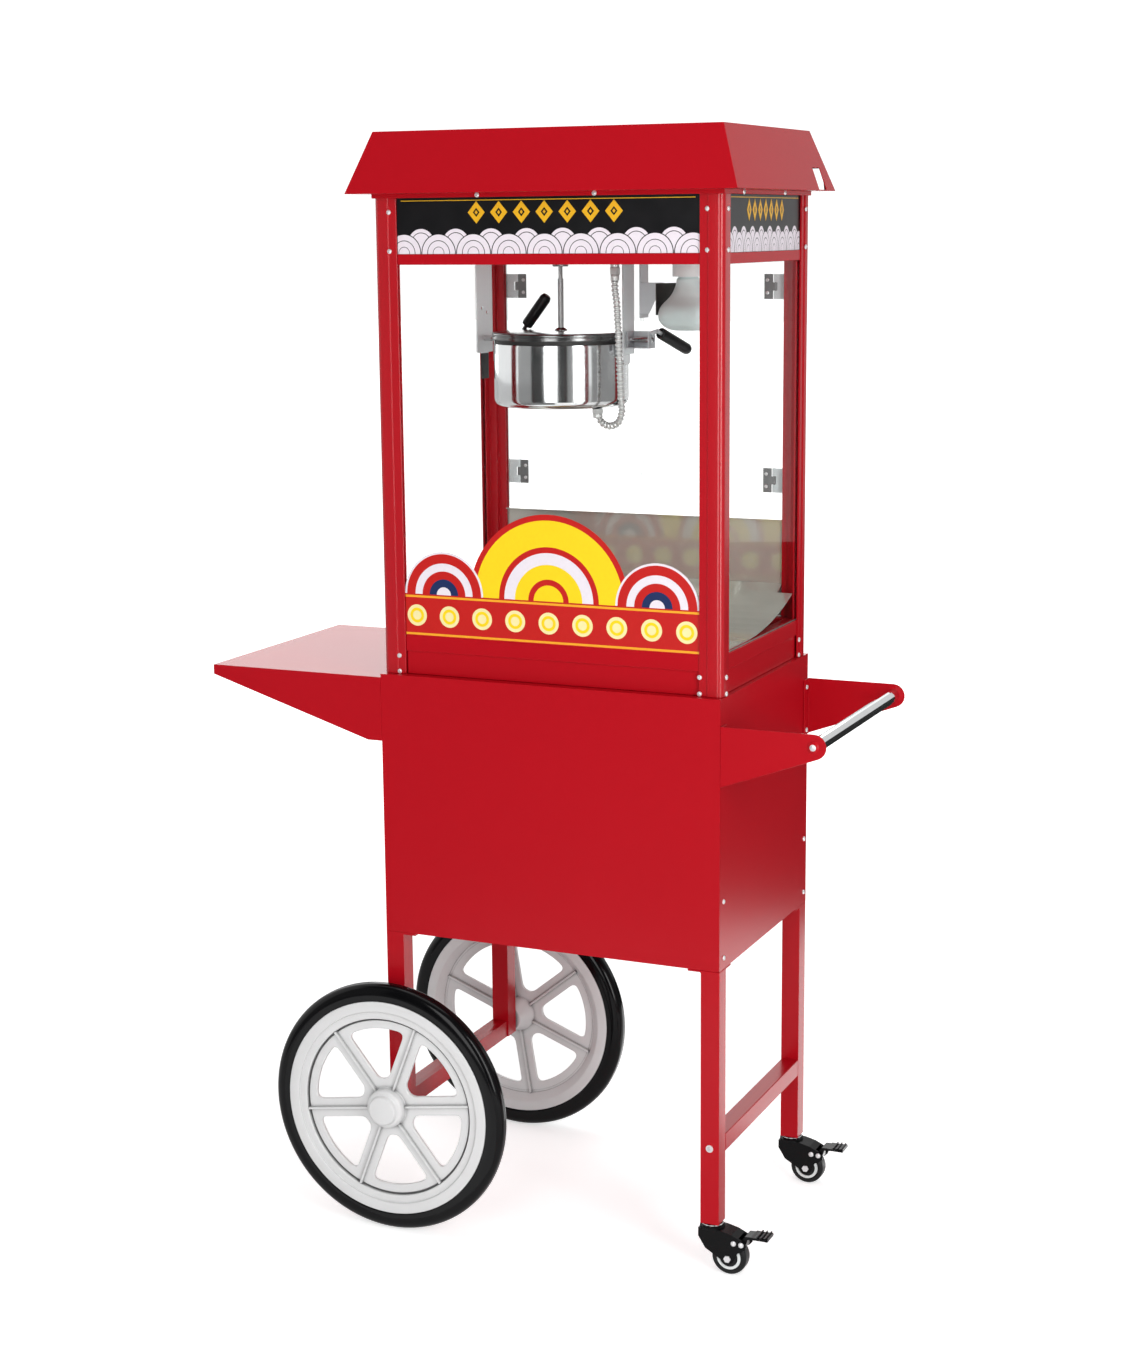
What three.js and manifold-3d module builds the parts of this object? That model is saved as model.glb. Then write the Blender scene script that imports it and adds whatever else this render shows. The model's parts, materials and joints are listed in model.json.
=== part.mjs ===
// A popcorn maker on a two-wheeled cart, built as separate pieces.
// Millimetres, +Z up. The customers' side faces -Y, the operator's doors face +Y,
// the big wheels are at -X and the push handle is at +X.
import * as THREE from 'three';
import { mergeVertices } from 'three/addons/utils/BufferGeometryUtils.js';
import Module from 'manifold-3d';

const wasm = await Module();
wasm.setup();

// ---------------------------------------------------------------- sizes
// Clearances and sheet
const fit = 0.3;                  // between pieces that seat on each other
const sheet = 1.5;                // cabinet and cart sheet

// Cabinet
const cabinetWidth = 503;
const cabinetDepth = 345;
const baseHeight = 55;
const baseBandHeight = 22;
const baseWall = 24;
const glassHeight = 507;
const paneThickness = 3.5;
const railHeight = 14;
const railThickness = 9.5;
const railSetback = 3;
const skirtSetback = 6;
const signHeight = 80;

// Corner posts
const noseWidth = 21.5;
const noseDepth = 17.5;
const noseRadius = 8;
const flangeReach = 12;
const flangeSetback = 1.5;
const flangeThickness = 2.7;
const grooveWall = 2;
const postHeadReach = 8;          // how far a post goes up into the roof

// Roof
const eaveWidth = 560;
const eaveDepth = 402;
const roofTopWidth = 501;
const roofTopDepth = 344;
const roofHeight = 82;
const roofLip = 6;
const ventWidth = 32;
const ventHeight = 31;
const ventFromRear = 26.5;        // from the cabinet's rear face to the side vent's middle
const ventFromSide = 4;           // from the cabinet's side face to the rear vent's middle
const ventStart = 5;              // from the roof's opening to a vent

// Rear of the cabinet
const doorThickness = 4;
const doorMargin = 2;             // above and below a door
const doorMeetingGap = 3;
const doorOverhang = 14.5;        // door beyond its hinge axis
const rearPanelHeight = 141;
const rearPanelFold = 10;
const hingeAxisInset = 49.5;      // hinge axis from the cabinet's side face
const hingeHeight = 35;
const hingeLeafWidth = 13;
const hingePinRadius = 1.5;
const hingeKnuckleRadius = 3;
const hingeRise = [54.5, 329];    // lower and upper hinge above the rear panel's top
const deckRise = 46;
const deckBendY = -60;
const deckBendBehind = 10;        // the bend's control point behind its middle
const deckSlots = 7;
const deckSlotWidth = 4;
const deckSlotLength = 60;
const deckSlotPitch = 32;

// Crumb drawer
const drawerWidth = 290;
const drawerEndGap = 3;            // between the tray's far end and the base's wall
const drawerHeight = 40;
const drawerWall = 1.2;
const drawerFrontMargin = 8;
const drawerPullWidth = 80;
const drawerPullDepth = 14;
const drawerPullDrop = 10;        // below the drawer's top
const drawerPullLip = 7.5;

// Switches
const switchPitch = 34;
const switchHoleHeight = 16;
const switchWidth = 11;
const paddleHeight = 17;
const paddleThickness = 4;
const paddleStandOff = 2.5;
const switchTip = 8;              // degrees either side of level

// Kettle
const kettleX = -53;              // kettle's middle from the cabinet's middle
const kettleSides = 32;
const potRadius = 94;
const potBottomBelowPivot = 92;
const potRimBelowPivot = 5;
const potWall = 2.5;
const potFloor = 12;
const bowlBevel = 6;
const potEdgeRadius = 10;
const neckRadius = 91;
const lidRadius = 96.5;
const lidHeight = 11.5;
const lidGroove = 1.5;
const lidSplitY = 8;
const lidShoulder = 30;           // width of the lid's sloping rim
const shaftRadius = 4;
const shaftBossRadius = 9;
const shaftBossHeight = 4;
const shaftBossClearance = 3.5;   // lets the flap swing up past the boss
const pivotBelowCeiling = 117.5;
const pinRadius = 4;
const lugWidth = 24;
const lugDrop = 34;               // below the pivot
const lugRise = 9;
const lugFootDrop = 10;           // where the lug leaves the pot's side
const lugThickness = 2;
const lugGap = 1;
const hangerThickness = 2;
const hangerFlange = 16;
const leftHangerGap = 20.5;       // from the lid's edge to the hanger's middle
const leftHangerWidth = 50;
const leftHangerTabWidth = 22;
const leftHangerTabDrop = 57;
const rightHangerWidth = 39;
const hangerDrop = 20;            // hanger below the pivot
const tangThickness = 3;
const tangLength = 25;
const tangAbovePivot = 108;
const forkRadius = 11;
const forkHeight = 17;
const forkSlotDepth = 12.5;
const forkBelowCeiling = 1;
const spindleRadius = 10;
const spindleSides = 24;          // enough flats to turn freely in its bore
const spindleReach = 24;          // into the gearbox
const stirrerRadius = 80;
const stirrerHeight = 9;
const stirrerLift = 1;            // above the bowl's floor
const stirrerHubRadius = 10;
const stirrerArmWidth = 4;
const bladeRoot = 46;
const bladeSweep = 16;
const motorOffset = 34;           // motor's axis from the spindle
const motorRadius = 25;
const motorHeight = 44;
const motorCapRadius = 9;
const motorCapHeight = 4;
const gearboxWidth = 52;
const gearboxHeight = 30;
const gearboxRim = 6;             // gearbox wall round the spindle's side
const tiltArmLength = 33;
const tiltArmHeight = 23;
const tiltArmWidth = 24;
const gripRadius = 7.5;
const gripLength = 62;
const gripRodRadius = 3;
const lidGripLength = 54;
const lidGripFootOut = 71;        // lid grip's foot from the lid's middle
const lidGripFootBack = 30;
const lidGripLeanOut = 33;        // how far the lid grip leans for its rise
const lidGripRise = 42;
const lidGripStudShare = 0.6;     // of the grip's length that its stud fills
const lidStudRoot = 1.5;
const tiltGripStandOff = 8;       // from the arm's end to the grip's knee
const tiltKneeRise = 12;
const tiltStemRise = 9;
const tiltGripLeanOut = 22;
const tiltGripLeanBack = 52;
const tiltGripLeanDown = 26;
const tiltGripStemShare = 0.7;
const tiltGripBoreShare = 0.8;
const leftPinEnd = 5;             // pin past the left hanger
const rightPinEnd = 2;            // pin past the tilt arm

// Conduit
const conduitRadius = 5;
const conduitNutRadius = 8;
const conduitNutHeight = 16;
const conduitFootNutHeight = 8;
const conduitFromKettle = 103;    // ceiling nut from the kettle's middle
const conduitY = -50;
const conduitSwing = 9;           // how far the loop hangs outside the ceiling nut
const conduitLoopRadius = 20;
const conduitFootBack = 10;       // how much further back the foot is

// Lamp
const lampX = 160;                // lamp's axis from the cabinet's middle
const lampY = -60;
const bulbRadius = 40;
const bulbLength = 96;
const bulbNeckRadius = 16;
const bulbCapRadius = 13;
const socketRadius = 21;
const socketHeight = 30;
const bulbHeadroom = 5.5;         // from the bulb's cap to the ceiling
const bulbRoundHeight = 18;       // from the bulb's lowest point to its widest
const bulbNeckRise = 62;
const lampStripFromLamp = 89;
const lampStripHalf = 15;
const lampStripAbovePivot = 30;
const shieldAbovePivot = 36;
const shieldHeight = 42;
const shieldFoot = 14;
const shieldHead = 36;

// Cart
const cartWidth = 505;
const cartDepth = 366;
const cartHeight = 372.5;
const cartBottom = 432.5;
const cartFrame = 14;             // depth of the folded frame round the rear opening
const cartDoorWidth = 400;
const cartDoorHeight = 300;
const cartDoorDepth = 11;
const cartDoorPivotInset = 4;
const cartDoorPinRadius = 2;
const cartDoorPinLength = 8;
const knobRadius = 11;
const knobReach = 17;
const knobInset = 30;             // from the door's free edge

// Legs
const legSize = 27;
const legFlange = 46;
const legFlangeThickness = 3;
const crossBarSize = 25;
const crossBarBottom = 165;
const stretcherSize = 25;
const stretcherBottom = 169;

// Shelf
const shelfLength = 273;
const shelfBelowTop = 5;
const shelfLip = 14;
const gussetDrop = 91;
const gussetFlat = 22;
const shelfFlange = 20;

// Push handle
const handleReach = 128.5;
const handleBelowTop = 53;
const handleEndRadius = 17;
const handleRootHeight = 82;
const handleTubeRadius = 9.5;
const handleTubeWall = 1.5;
const bracketThickness = 2;
const bracketFlange = 20;
const boltHeadRadius = 8;
const boltHeadHeight = 4;
const boltHeadRim = 1;
const plugLength = 14;            // bracket's plug, from its outer face

// Big wheels
const wheelRadius = 183;
const wheelSides = 36;            // flats round the rim and the tyre
const rimRadius = 158;
const rimWidth = 26;
const tyreWidth = 28;
const wheelTrack = 432;           // between the tyres' middle planes
const axleInset = 16.5;           // from the cart's left face
const axleRadius = 8;
const axleOverhang = 18;          // past the tyres' middle planes
const axleNutHeight = 3;
const windowOuterRadius = 117;
const windowInnerRadius = 43;
const windowCorner = 9;
const stepRadius = 130;           // where the web meets the rim's stepped ring
const grooveRadius = 143;
const webFace = 6;
const spokeWidth = 28;
const spokes = 6;
const wheelsTurned = 9;           // degrees both big wheels stand rolled from a level spoke
const finThickness = 3.5;
const finHeight = 8;
const hubRadius = 28;
const hubCapRadius = 22;
const hubReach = 20;
const hubCapReach = 27;
const hubInnerReach = 30;
const hubWall = 9;
const hubNutClearance = 4;
const rimFlange = 3;              // thickness of the rim's outer ring and of the hub cap
const tyreShoulder = 7;

// Casters
const casterHeight = 70;
const casterTrail = 27;
const casterWheelRadius = 25;
const casterWheelWidth = 20;
const casterForkWidth = 29;
const casterSlot = 24;
const casterAxleRadius = 4;
const casterStemRadius = 5.5;
const casterStemLength = 40;
const casterRaceRadius = 18;
const casterRaceRise = 4;         // straight side of the race above the fork
const casterNeck = 6;             // fork's top below the caster's top
const casterNeckHalf = 16;
const casterNeckDrop = 12;
const casterThroatX = -12;        // where the fork's front edge turns toward the axle
const casterThroatZ = 34;
const casterEarRadius = 9;        // round the axle
const casterSlotTop = 56;
const pedalEarRadius = 7;
const pedalEarUnder = 38;
const pedalPivotX = 47;
const pedalPivotZ = 46;
const pedalReach = 37;
const pedalWidth = 26;
const pedalHub = 4;
const pedalRise = 16.5;           // top of the toe plate above the pivot
const pedalPlate = 3.5;
const pedalPinRadius = 2;
const toeStart = 13;
const toeThickness = 3;
const ribCount = 3;
const ribPitch = 6;
const ribWidth = 1.5;
const ribHeight = 1;

// ---------------------------------------------------------------- derived places
const halfWidth = cabinetWidth / 2;
const halfDepth = cabinetDepth / 2;
const leftHangerX = kettleX - lidRadius - leftHangerGap - hangerThickness;
const postWidth = noseWidth + flangeReach;
const postDepth = noseDepth + flangeReach;
const paneFront = flangeSetback + flangeThickness + fit;
const paneBack = paneFront + paneThickness + fit;
const postInner = paneBack + grooveWall;
const cartTop = cartBottom + cartHeight;
const baseTop = cartTop + baseHeight;
const glassTop = baseTop + glassHeight;
const railTop = glassTop + railHeight;
const ceiling = railTop - sheet;
const roofBase = railTop + signHeight;
const roofTop = roofBase + roofHeight;
const pivotZ = ceiling - pivotBelowCeiling;
const potTop = pivotZ - potRimBelowPivot;
const potBottom = pivotZ - potBottomBelowPivot;
const lidBottom = pivotZ + fit;
const lidTop = lidBottom + lidHeight;
const rearPanelTop = baseTop + rearPanelHeight;
const cartHalfWidth = cartWidth / 2;
const cartHalfDepth = cartDepth / 2;
const handleX = cartHalfWidth + handleReach;
const handleZ = cartTop - handleBelowTop;
const axleX = axleInset - cartHalfWidth;
const legX = cartHalfWidth - legSize / 2;
const legY = cartHalfDepth - legSize / 2;
const rightLugX = kettleX + lidRadius + lugGap;
const rightHangerX = rightLugX + lugThickness + lugGap;
const tiltArmX = rightHangerX + hangerThickness + lugGap;
const leftLugX = kettleX - lidRadius - lugGap;
const drawerBottom = cartTop + fit + sheet + fit;
const shelfTop = cartTop - shelfBelowTop;

// ---------------------------------------------------------------- helpers
function toSolid(shape) {
  if (shape instanceof wasm.Manifold) {
    return shape;
  }
  const bare = shape.index ? shape.clone() : mergeVertices(shape.clone());
  bare.deleteAttribute('normal');
  bare.deleteAttribute('uv');
  const merged = mergeVertices(bare, 1e-4);
  const corners = merged.attributes.position.array;
  const triangles = [];
  for (let i = 0; i < merged.index.count; i += 3) {
    const [a, b, c] = [0, 1, 2].map((k) => merged.index.getX(i + k));
    if (a !== b && b !== c && c !== a) {
      triangles.push(a, b, c);
    }
  }
  if (signedVolume(corners, triangles) < 0) {
    triangles.reverse();
  }
  const mesh = new wasm.Mesh({
    numProp: 3,
    vertProperties: new Float32Array(corners),
    triVerts: new Uint32Array(triangles),
  });
  return new wasm.Manifold(mesh);
}

function signedVolume(corners, triangles) {
  const [a, b, c] = [new THREE.Vector3(), new THREE.Vector3(), new THREE.Vector3()];
  let sum = 0;
  for (let i = 0; i < triangles.length; i += 3) {
    a.fromArray(corners, 3 * triangles[i]);
    b.fromArray(corners, 3 * triangles[i + 1]);
    c.fromArray(corners, 3 * triangles[i + 2]);
    sum += a.dot(b.cross(c));
  }
  return sum;
}

function join(...shapes) {
  return shapes.map(toSolid).reduce((whole, next) => whole.add(next));
}

function cut(shape, ...tools) {
  return tools.map(toSolid).reduce((whole, tool) => whole.subtract(tool), toSolid(shape));
}

function part(name, shape, finish) {
  const mesh = toSolid(shape).getMesh();
  const geometry = new THREE.BufferGeometry();
  geometry.setAttribute('position', new THREE.BufferAttribute(new Float32Array(mesh.vertProperties), 3));
  geometry.setIndex(new THREE.BufferAttribute(new Uint32Array(mesh.triVerts), 1));
  geometry.computeVertexNormals();
  const [color, roughness, metalness] = finish;
  const material = new THREE.MeshStandardMaterial({ color, roughness, metalness, flatShading: true });
  const piece = new THREE.Mesh(geometry, material);
  piece.name = name;
  return piece;
}

function block([x0, x1], [y0, y1], [z0, z1]) {
  const [dx, dy, dz] = [Math.abs(x1 - x0), Math.abs(y1 - y0), Math.abs(z1 - z0)];
  return new THREE.BoxGeometry(dx, dy, dz).translate((x0 + x1) / 2, (y0 + y1) / 2, (z0 + z1) / 2);
}

function centred(width) {
  return [-width / 2, width / 2];
}

function rod(from, to, radius, sides = 12) {
  const [start, end] = [new THREE.Vector3(...from), new THREE.Vector3(...to)];
  const along = end.clone().sub(start);
  const geometry = new THREE.CylinderGeometry(radius, radius, along.length(), sides);
  const turn = new THREE.Quaternion().setFromUnitVectors(new THREE.Vector3(0, 1, 0), along.normalize());
  return geometry.applyQuaternion(turn).translate(...start.add(end).multiplyScalar(0.5));
}

function upright([x, y], [z0, z1], radius, sides) {
  return rod([x, y, z0], [x, y, z1], radius, sides);
}

function outline(points) {
  return new THREE.Shape(points.map(([x, y]) => new THREE.Vector2(x, y)));
}

// A polygon whose corners are rounded by curves that start `size` before each corner.
function softOutline(points, size) {
  const corners = points.map(([x, y]) => new THREE.Vector2(x, y));
  const shape = new THREE.Shape();
  corners.forEach((corner, i) => {
    const before = corners.at(i - 1);
    const after = corners[(i + 1) % corners.length];
    const reach = Math.min(size, corner.distanceTo(before) / 2, corner.distanceTo(after) / 2);
    const enter = before.clone().sub(corner).setLength(reach).add(corner);
    const leave = after.clone().sub(corner).setLength(reach).add(corner);
    if (i === 0) {
      shape.moveTo(enter.x, enter.y);
    } else {
      shape.lineTo(enter.x, enter.y);
    }
    shape.quadraticCurveTo(corner.x, corner.y, leave.x, leave.y);
  });
  shape.closePath();
  return shape;
}

function extrude(shape, depth, curveSegments = 6) {
  return new THREE.ExtrudeGeometry(shape, { depth, bevelEnabled: false, curveSegments });
}

function extrudeUp(shape, [z0, z1], curveSegments) {
  return extrude(shape, z1 - z0, curveSegments).translate(0, 0, z0);
}

// A shape drawn as (X, Z), given thickness along Y.
function extrudeAlongY(shape, [y0, y1], curveSegments) {
  return extrude(shape, y1 - y0, curveSegments).rotateX(Math.PI / 2).translate(0, y1, 0);
}

// A shape drawn as (Y, Z), given thickness along X.
function extrudeAlongX(shape, [x0, x1], curveSegments) {
  const turn = new THREE.Matrix4().makeBasis(
    new THREE.Vector3(0, 1, 0), new THREE.Vector3(0, 0, 1), new THREE.Vector3(1, 0, 0));
  return extrude(shape, x1 - x0, curveSegments).applyMatrix4(turn).translate(x0, 0, 0);
}

// A profile of (radius, height) points turned about Z.
function turnedUp(profile, sides = 36) {
  return turnedAlongY(profile, sides).rotateX(Math.PI / 2);
}

// A profile of (radius, y) points turned about Y.
function turnedAlongY(profile, sides = 36) {
  return new THREE.LatheGeometry(profile.map(([r, y]) => new THREE.Vector2(r, y)), sides);
}

function arcPoints(centre, radii, startDegrees, endDegrees, steps) {
  return Array.from({ length: steps + 1 }, (_, i) => {
    const angle = THREE.MathUtils.degToRad(startDegrees + (endDegrees - startDegrees) * i / steps);
    return [centre[0] + radii[0] * Math.cos(angle), centre[1] + radii[1] * Math.sin(angle)];
  });
}

// ---------------------------------------------------------------- finishes
const redPaint = ['#b51a28', 0.28, 0];
const steel = ['#c6c8ca', 0.22, 1];
const glass = ['#dfe8ea', 0.05, 0];
const blackPlastic = ['#17181a', 0.45, 0];
const blackSteel = ['#1d1e20', 0.4, 0.6];
const signBlack = ['#141416', 0.3, 0];
const rimGrey = ['#d6d6d4', 0.45, 0.1];
const tyreRubber = ['#121214', 0.35, 0];
const chrome = ['#d9dadc', 0.08, 1];
const frosted = ['#eceae2', 0.5, 0];

// ---------------------------------------------------------------- cabinet
// The section of a corner post, drawn from the cabinet's corner (sx, sy) inward.
function postSection(sx, sy) {
  const flange = flangeSetback + flangeThickness;
  const corner = arcPoints([noseRadius, noseRadius], [-noseRadius, -noseRadius], 0, 90, 5);
  const front = [
    [noseWidth, 0], [noseWidth, flangeSetback], [postWidth, flangeSetback], [postWidth, flange],
    [noseWidth, flange], [noseWidth, paneBack], [postWidth, paneBack], [postWidth, postInner],
    [noseWidth, postInner], [noseWidth, noseDepth],
  ];
  const side = [
    [postInner, noseDepth], [postInner, postDepth], [paneBack, postDepth], [paneBack, noseDepth],
    [flange, noseDepth], [flange, postDepth], [flangeSetback, postDepth], [flangeSetback, noseDepth],
    [0, noseDepth],
  ];
  const inward = [...corner, ...front, ...side];
  return outline(inward.map(([u, v]) => [sx * (halfWidth - u), sy * (halfDepth - v)]));
}

function cornerPost(sx, sy) {
  return extrudeUp(postSection(sx, sy), [cartTop + fit, roofBase + postHeadReach]);
}

function hingeLevels() {
  return hingeRise.map((rise) => rearPanelTop + rise);
}

const hingeX = halfWidth - hingeAxisInset;
const hingeLeafY = halfDepth - flangeSetback;
const hingeY = hingeLeafY + hingeKnuckleRadius;

// The fixed leaf lies on the post's rear flange and holds the two outer knuckles.
function fixedLeaf(sx, level) {
  const third = hingeHeight / 3;
  const bore = upright([sx * hingeX, hingeY], [level - hingeHeight, level + hingeHeight],
    hingePinRadius + fit, 8);
  const knuckles = [-1, 1].map((end) => rod(
    [sx * hingeX, hingeY, level + end * hingeHeight / 2],
    [sx * hingeX, hingeY, level + end * (third / 2 + fit)], hingeKnuckleRadius, 8));
  const leafRange = [sx * (hingeX + hingeKnuckleRadius + fit), sx * (halfWidth - noseWidth - fit)];
  const leaf = block(leafRange, [hingeLeafY - fit, hingeLeafY + sheet],
    centred(hingeHeight).map((z) => z + level));
  const arms = [-1, 1].map((end) => block(
    [sx * hingeX, sx * (hingeX + hingeKnuckleRadius + 1)], [hingeLeafY, hingeLeafY + sheet],
    [level + end * hingeHeight / 2, level + end * (third / 2 + fit)]));
  return cut(join(leaf, ...arms, ...knuckles), bore);
}

function rearPost(sx) {
  const leafEdge = sx * (halfWidth - postWidth + 1);
  const leaves = hingeLevels().map((level) => fixedLeaf(sx, level));
  const slack = block([leafEdge, sx * hingeX], [0, hingeLeafY], [cartTop, roofBase]);
  const clear = leaves.map((leaf) => cut(leaf, slack));
  return join(cornerPost(sx, 1), ...clear);
}

// The moving leaf lies on the door and holds the middle knuckle and the pin.
function movingLeaf(sx, level) {
  const third = hingeHeight / 3 - fit;
  const along = (height) => centred(height).map((z) => z + level);
  const knuckle = upright([sx * hingeX, hingeY], along(third), hingeKnuckleRadius, 8);
  const pin = upright([sx * hingeX, hingeY], along(hingeHeight), hingePinRadius, 8);
  const inner = sx * (hingeX - hingeKnuckleRadius - fit);
  const leaf = block([inner, sx * (hingeX - hingeKnuckleRadius - hingeLeafWidth)],
    [hingeLeafY, hingeLeafY + sheet], along(hingeHeight));
  const arm = block([sx * hingeX, sx * (hingeX - hingeKnuckleRadius - 1)],
    [hingeLeafY, hingeLeafY + sheet], along(third));
  return join(leaf, arm, knuckle, pin);
}

function rearDoor(sx) {
  const back = hingeLeafY - fit;
  return block([sx * doorMeetingGap / 2, sx * (hingeX + doorOverhang)], [back - doorThickness, back],
    [rearPanelTop + doorMargin, glassTop - doorMargin]);
}

// Blocks that take out the plan of the four posts, each `width` by `depth`.
function cornerBlocks(width, depth, [z0, z1]) {
  const corners = [];
  for (const sx of [-1, 1]) {
    for (const sy of [-1, 1]) {
      corners.push(block([sx * (halfWidth - width), sx * (halfWidth + 1)],
        [sy * (halfDepth - depth), sy * (halfDepth + 1)], [z0, z1]));
    }
  }
  return corners;
}

const noseCorners = (z) => cornerBlocks(noseWidth + fit, noseDepth + fit, z);
const postCorners = (z) => cornerBlocks(postWidth + fit, postDepth + fit, z);

// Two crossing slabs that fill the cabinet's plan between the posts.
function betweenPosts(setback, z) {
  const across = block(centred(cabinetWidth - 2 * (postWidth + fit)), centred(cabinetDepth - 2 * setback), z);
  const along = block(centred(cabinetWidth - 2 * setback), centred(cabinetDepth - 2 * (postDepth + fit)), z);
  return join(across, along);
}

function baseFrame() {
  const bottom = cartTop + fit;
  const behindPosts = block(centred(cabinetWidth - 2 * (postInner + fit)),
    centred(cabinetDepth - 2 * (postInner + fit)), [bottom, baseTop]);
  const pocket = block(centred(cabinetWidth - 2 * baseWall), centred(cabinetDepth - 2 * baseWall),
    [bottom + sheet, baseTop + 1]);
  const drawerHole = block(centred(drawerWidth + 2 * fit), [0, halfDepth + 1],
    [bottom + sheet, drawerBottom + drawerHeight + 1]);
  const whole = join(
    betweenPosts(railSetback, [baseTop - baseBandHeight, baseTop]),
    betweenPosts(skirtSetback, [bottom, baseTop]),
    cut(behindPosts, ...noseCorners([cartTop, baseTop + 1])));
  return cut(whole, pocket, drawerHole);
}

const paneHalfWidth = halfWidth - noseWidth - fit;
const paneHalfDepth = halfDepth - noseDepth - fit;

function frontPane(z, sy = -1) {
  return block([-paneHalfWidth, paneHalfWidth],
    [sy * (halfDepth - paneFront), sy * (halfDepth - paneFront - paneThickness)], z);
}

function sidePane(sx, z) {
  return block([sx * (halfWidth - paneFront), sx * (halfWidth - paneFront - paneThickness)],
    [-paneHalfDepth, paneHalfDepth], z);
}

function rearLowerPanel() {
  const face = halfDepth - paneFront;
  const sheetFace = block([-paneHalfWidth, paneHalfWidth], [face - sheet, face],
    [baseTop + fit, rearPanelTop]);
  const fold = block(centred(cabinetWidth - 2 * (postWidth + fit)), [face - rearPanelFold, face],
    [rearPanelTop - sheet, rearPanelTop]);
  return join(sheetFace, fold);
}

function servingDeck() {
  const low = baseTop + fit;
  const front = -(halfDepth - paneFront - paneThickness - fit);
  const rear = halfDepth - paneFront - sheet - fit;
  const bendControl = (deckBendY + rear) / 2 + deckBendBehind;
  const profile = new THREE.Shape();
  profile.moveTo(front, low);
  profile.lineTo(deckBendY, low);
  profile.quadraticCurveTo(bendControl, low, rear, low + deckRise);
  profile.lineTo(rear, low + deckRise + sheet);
  profile.quadraticCurveTo(bendControl, low + sheet, deckBendY, low + sheet);
  profile.lineTo(front, low + sheet);
  profile.closePath();
  const halfDeck = halfWidth - postInner - fit;
  const slotY = (front + deckBendY) / 2;
  const slots = Array.from({ length: deckSlots }, (_, i) => {
    const x = (i - (deckSlots - 1) / 2) * deckSlotPitch;
    return block([x - deckSlotWidth / 2, x + deckSlotWidth / 2],
      [slotY - deckSlotLength / 2, slotY + deckSlotLength / 2], [low - 1, low + sheet + 1]);
  });
  const corners = postCorners([cartTop, low + deckRise + 10]);
  return cut(extrudeAlongX(profile, [-halfDeck, halfDeck], 10), ...corners, ...slots);
}

function crumbDrawer() {
  const rear = halfDepth - railSetback;
  const top = drawerBottom + drawerHeight;
  const far = baseWall + drawerEndGap - halfDepth;
  const tray = block(centred(drawerWidth), [far, rear + fit + sheet], [drawerBottom, top]);
  const hollow = block(centred(drawerWidth - 2 * drawerWall), [far + drawerWall, rear],
    [drawerBottom + drawerWall, top + 1]);
  const front = block(centred(drawerWidth + 2 * drawerFrontMargin), [rear + fit, rear + fit + sheet],
    [drawerBottom, top + 2]);
  const pullTop = top - drawerPullDrop + sheet;
  const pull = block(centred(drawerPullWidth), [rear + fit, rear + drawerPullDepth],
    [pullTop - sheet, pullTop]);
  const pullLip = block(centred(drawerPullWidth), [rear + drawerPullDepth - sheet, rear + drawerPullDepth],
    [pullTop - drawerPullLip, pullTop]);
  return join(cut(tray, hollow), front, pull, pullLip);
}

function ceilingPan() {
  const [plateWidth, plateDepth] = [cabinetWidth, cabinetDepth].map((size) => size - 2 * (postInner + fit));
  const plate = cut(block(centred(plateWidth), centred(plateDepth), [ceiling, railTop]),
    ...noseCorners([ceiling - 1, railTop + 1]));
  const inside = railSetback + railThickness;
  const rails = cut(betweenPosts(railSetback, [glassTop, railTop]),
    block(centred(cabinetWidth - 2 * inside), centred(cabinetDepth - 2 * inside), [glassTop - 1, ceiling]));
  const hole = upright([kettleX, 0], [ceiling - 1, railTop + 1], spindleRadius + 2);
  return cut(join(plate, rails), hole);
}

// ---------------------------------------------------------------- head and roof
// A block whose top is smaller than its foot.
function hipped([w0, d0], [w1, d1], [z0, z1]) {
  const geometry = new THREE.BoxGeometry(w0, d0, z1 - z0);
  const corners = geometry.attributes.position;
  for (let i = 0; i < corners.count; i += 1) {
    if (corners.getZ(i) > 0) {
      corners.setX(i, corners.getX(i) * w1 / w0);
      corners.setY(i, corners.getY(i) * d1 / d0);
    }
  }
  return geometry.translate(0, 0, (z0 + z1) / 2);
}

function roofPlan(z) {
  const share = (z - roofBase) / roofHeight;
  return [
    THREE.MathUtils.lerp(eaveWidth, roofTopWidth, share),
    THREE.MathUtils.lerp(eaveDepth, roofTopDepth, share),
  ];
}

// Two slots beside the rear right corner, one in each slope.
function roofVents() {
  const z = [roofBase + sheet, roofBase + ventHeight];
  const [x, y] = [halfWidth - ventFromSide, halfDepth - ventFromRear];
  const side = block([halfWidth + sheet + ventStart, eaveWidth], [y - ventWidth / 2, y + ventWidth / 2], z);
  const rear = block([x - ventWidth / 2, x + ventWidth / 2], [halfDepth + sheet + ventStart, eaveDepth], z);
  return [side, rear];
}

function roof() {
  const slope = Math.hypot(roofHeight, (eaveWidth - roofTopWidth) / 2) / roofHeight;
  const wall = 2 * sheet * slope;
  const insideZ = [roofBase + sheet, roofTop - sheet];
  const [insideFoot, insideHead] = insideZ.map((z) => roofPlan(z).map((size) => size - wall));
  const outside = hipped([eaveWidth, eaveDepth], [roofTopWidth, roofTopDepth], [roofBase, roofTop]);
  const inside = hipped(insideFoot, insideHead, insideZ);
  const [openWidth, openDepth] = [cabinetWidth + 2 * fit, cabinetDepth + 2 * fit];
  const opening = block(centred(openWidth), centred(openDepth),
    [roofBase - roofLip - 1, roofBase + sheet + 1]);
  const lip = block(centred(openWidth + 2 * sheet), centred(openDepth + 2 * sheet),
    [roofBase - roofLip, roofBase + sheet]);
  return cut(join(cut(outside, inside), lip), opening, ...roofVents());
}

const switchNames = ['heat', 'motor', 'lamp'];
const switchY = halfDepth - paneFront;
const switchZ = railTop + signHeight / 2;

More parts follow.
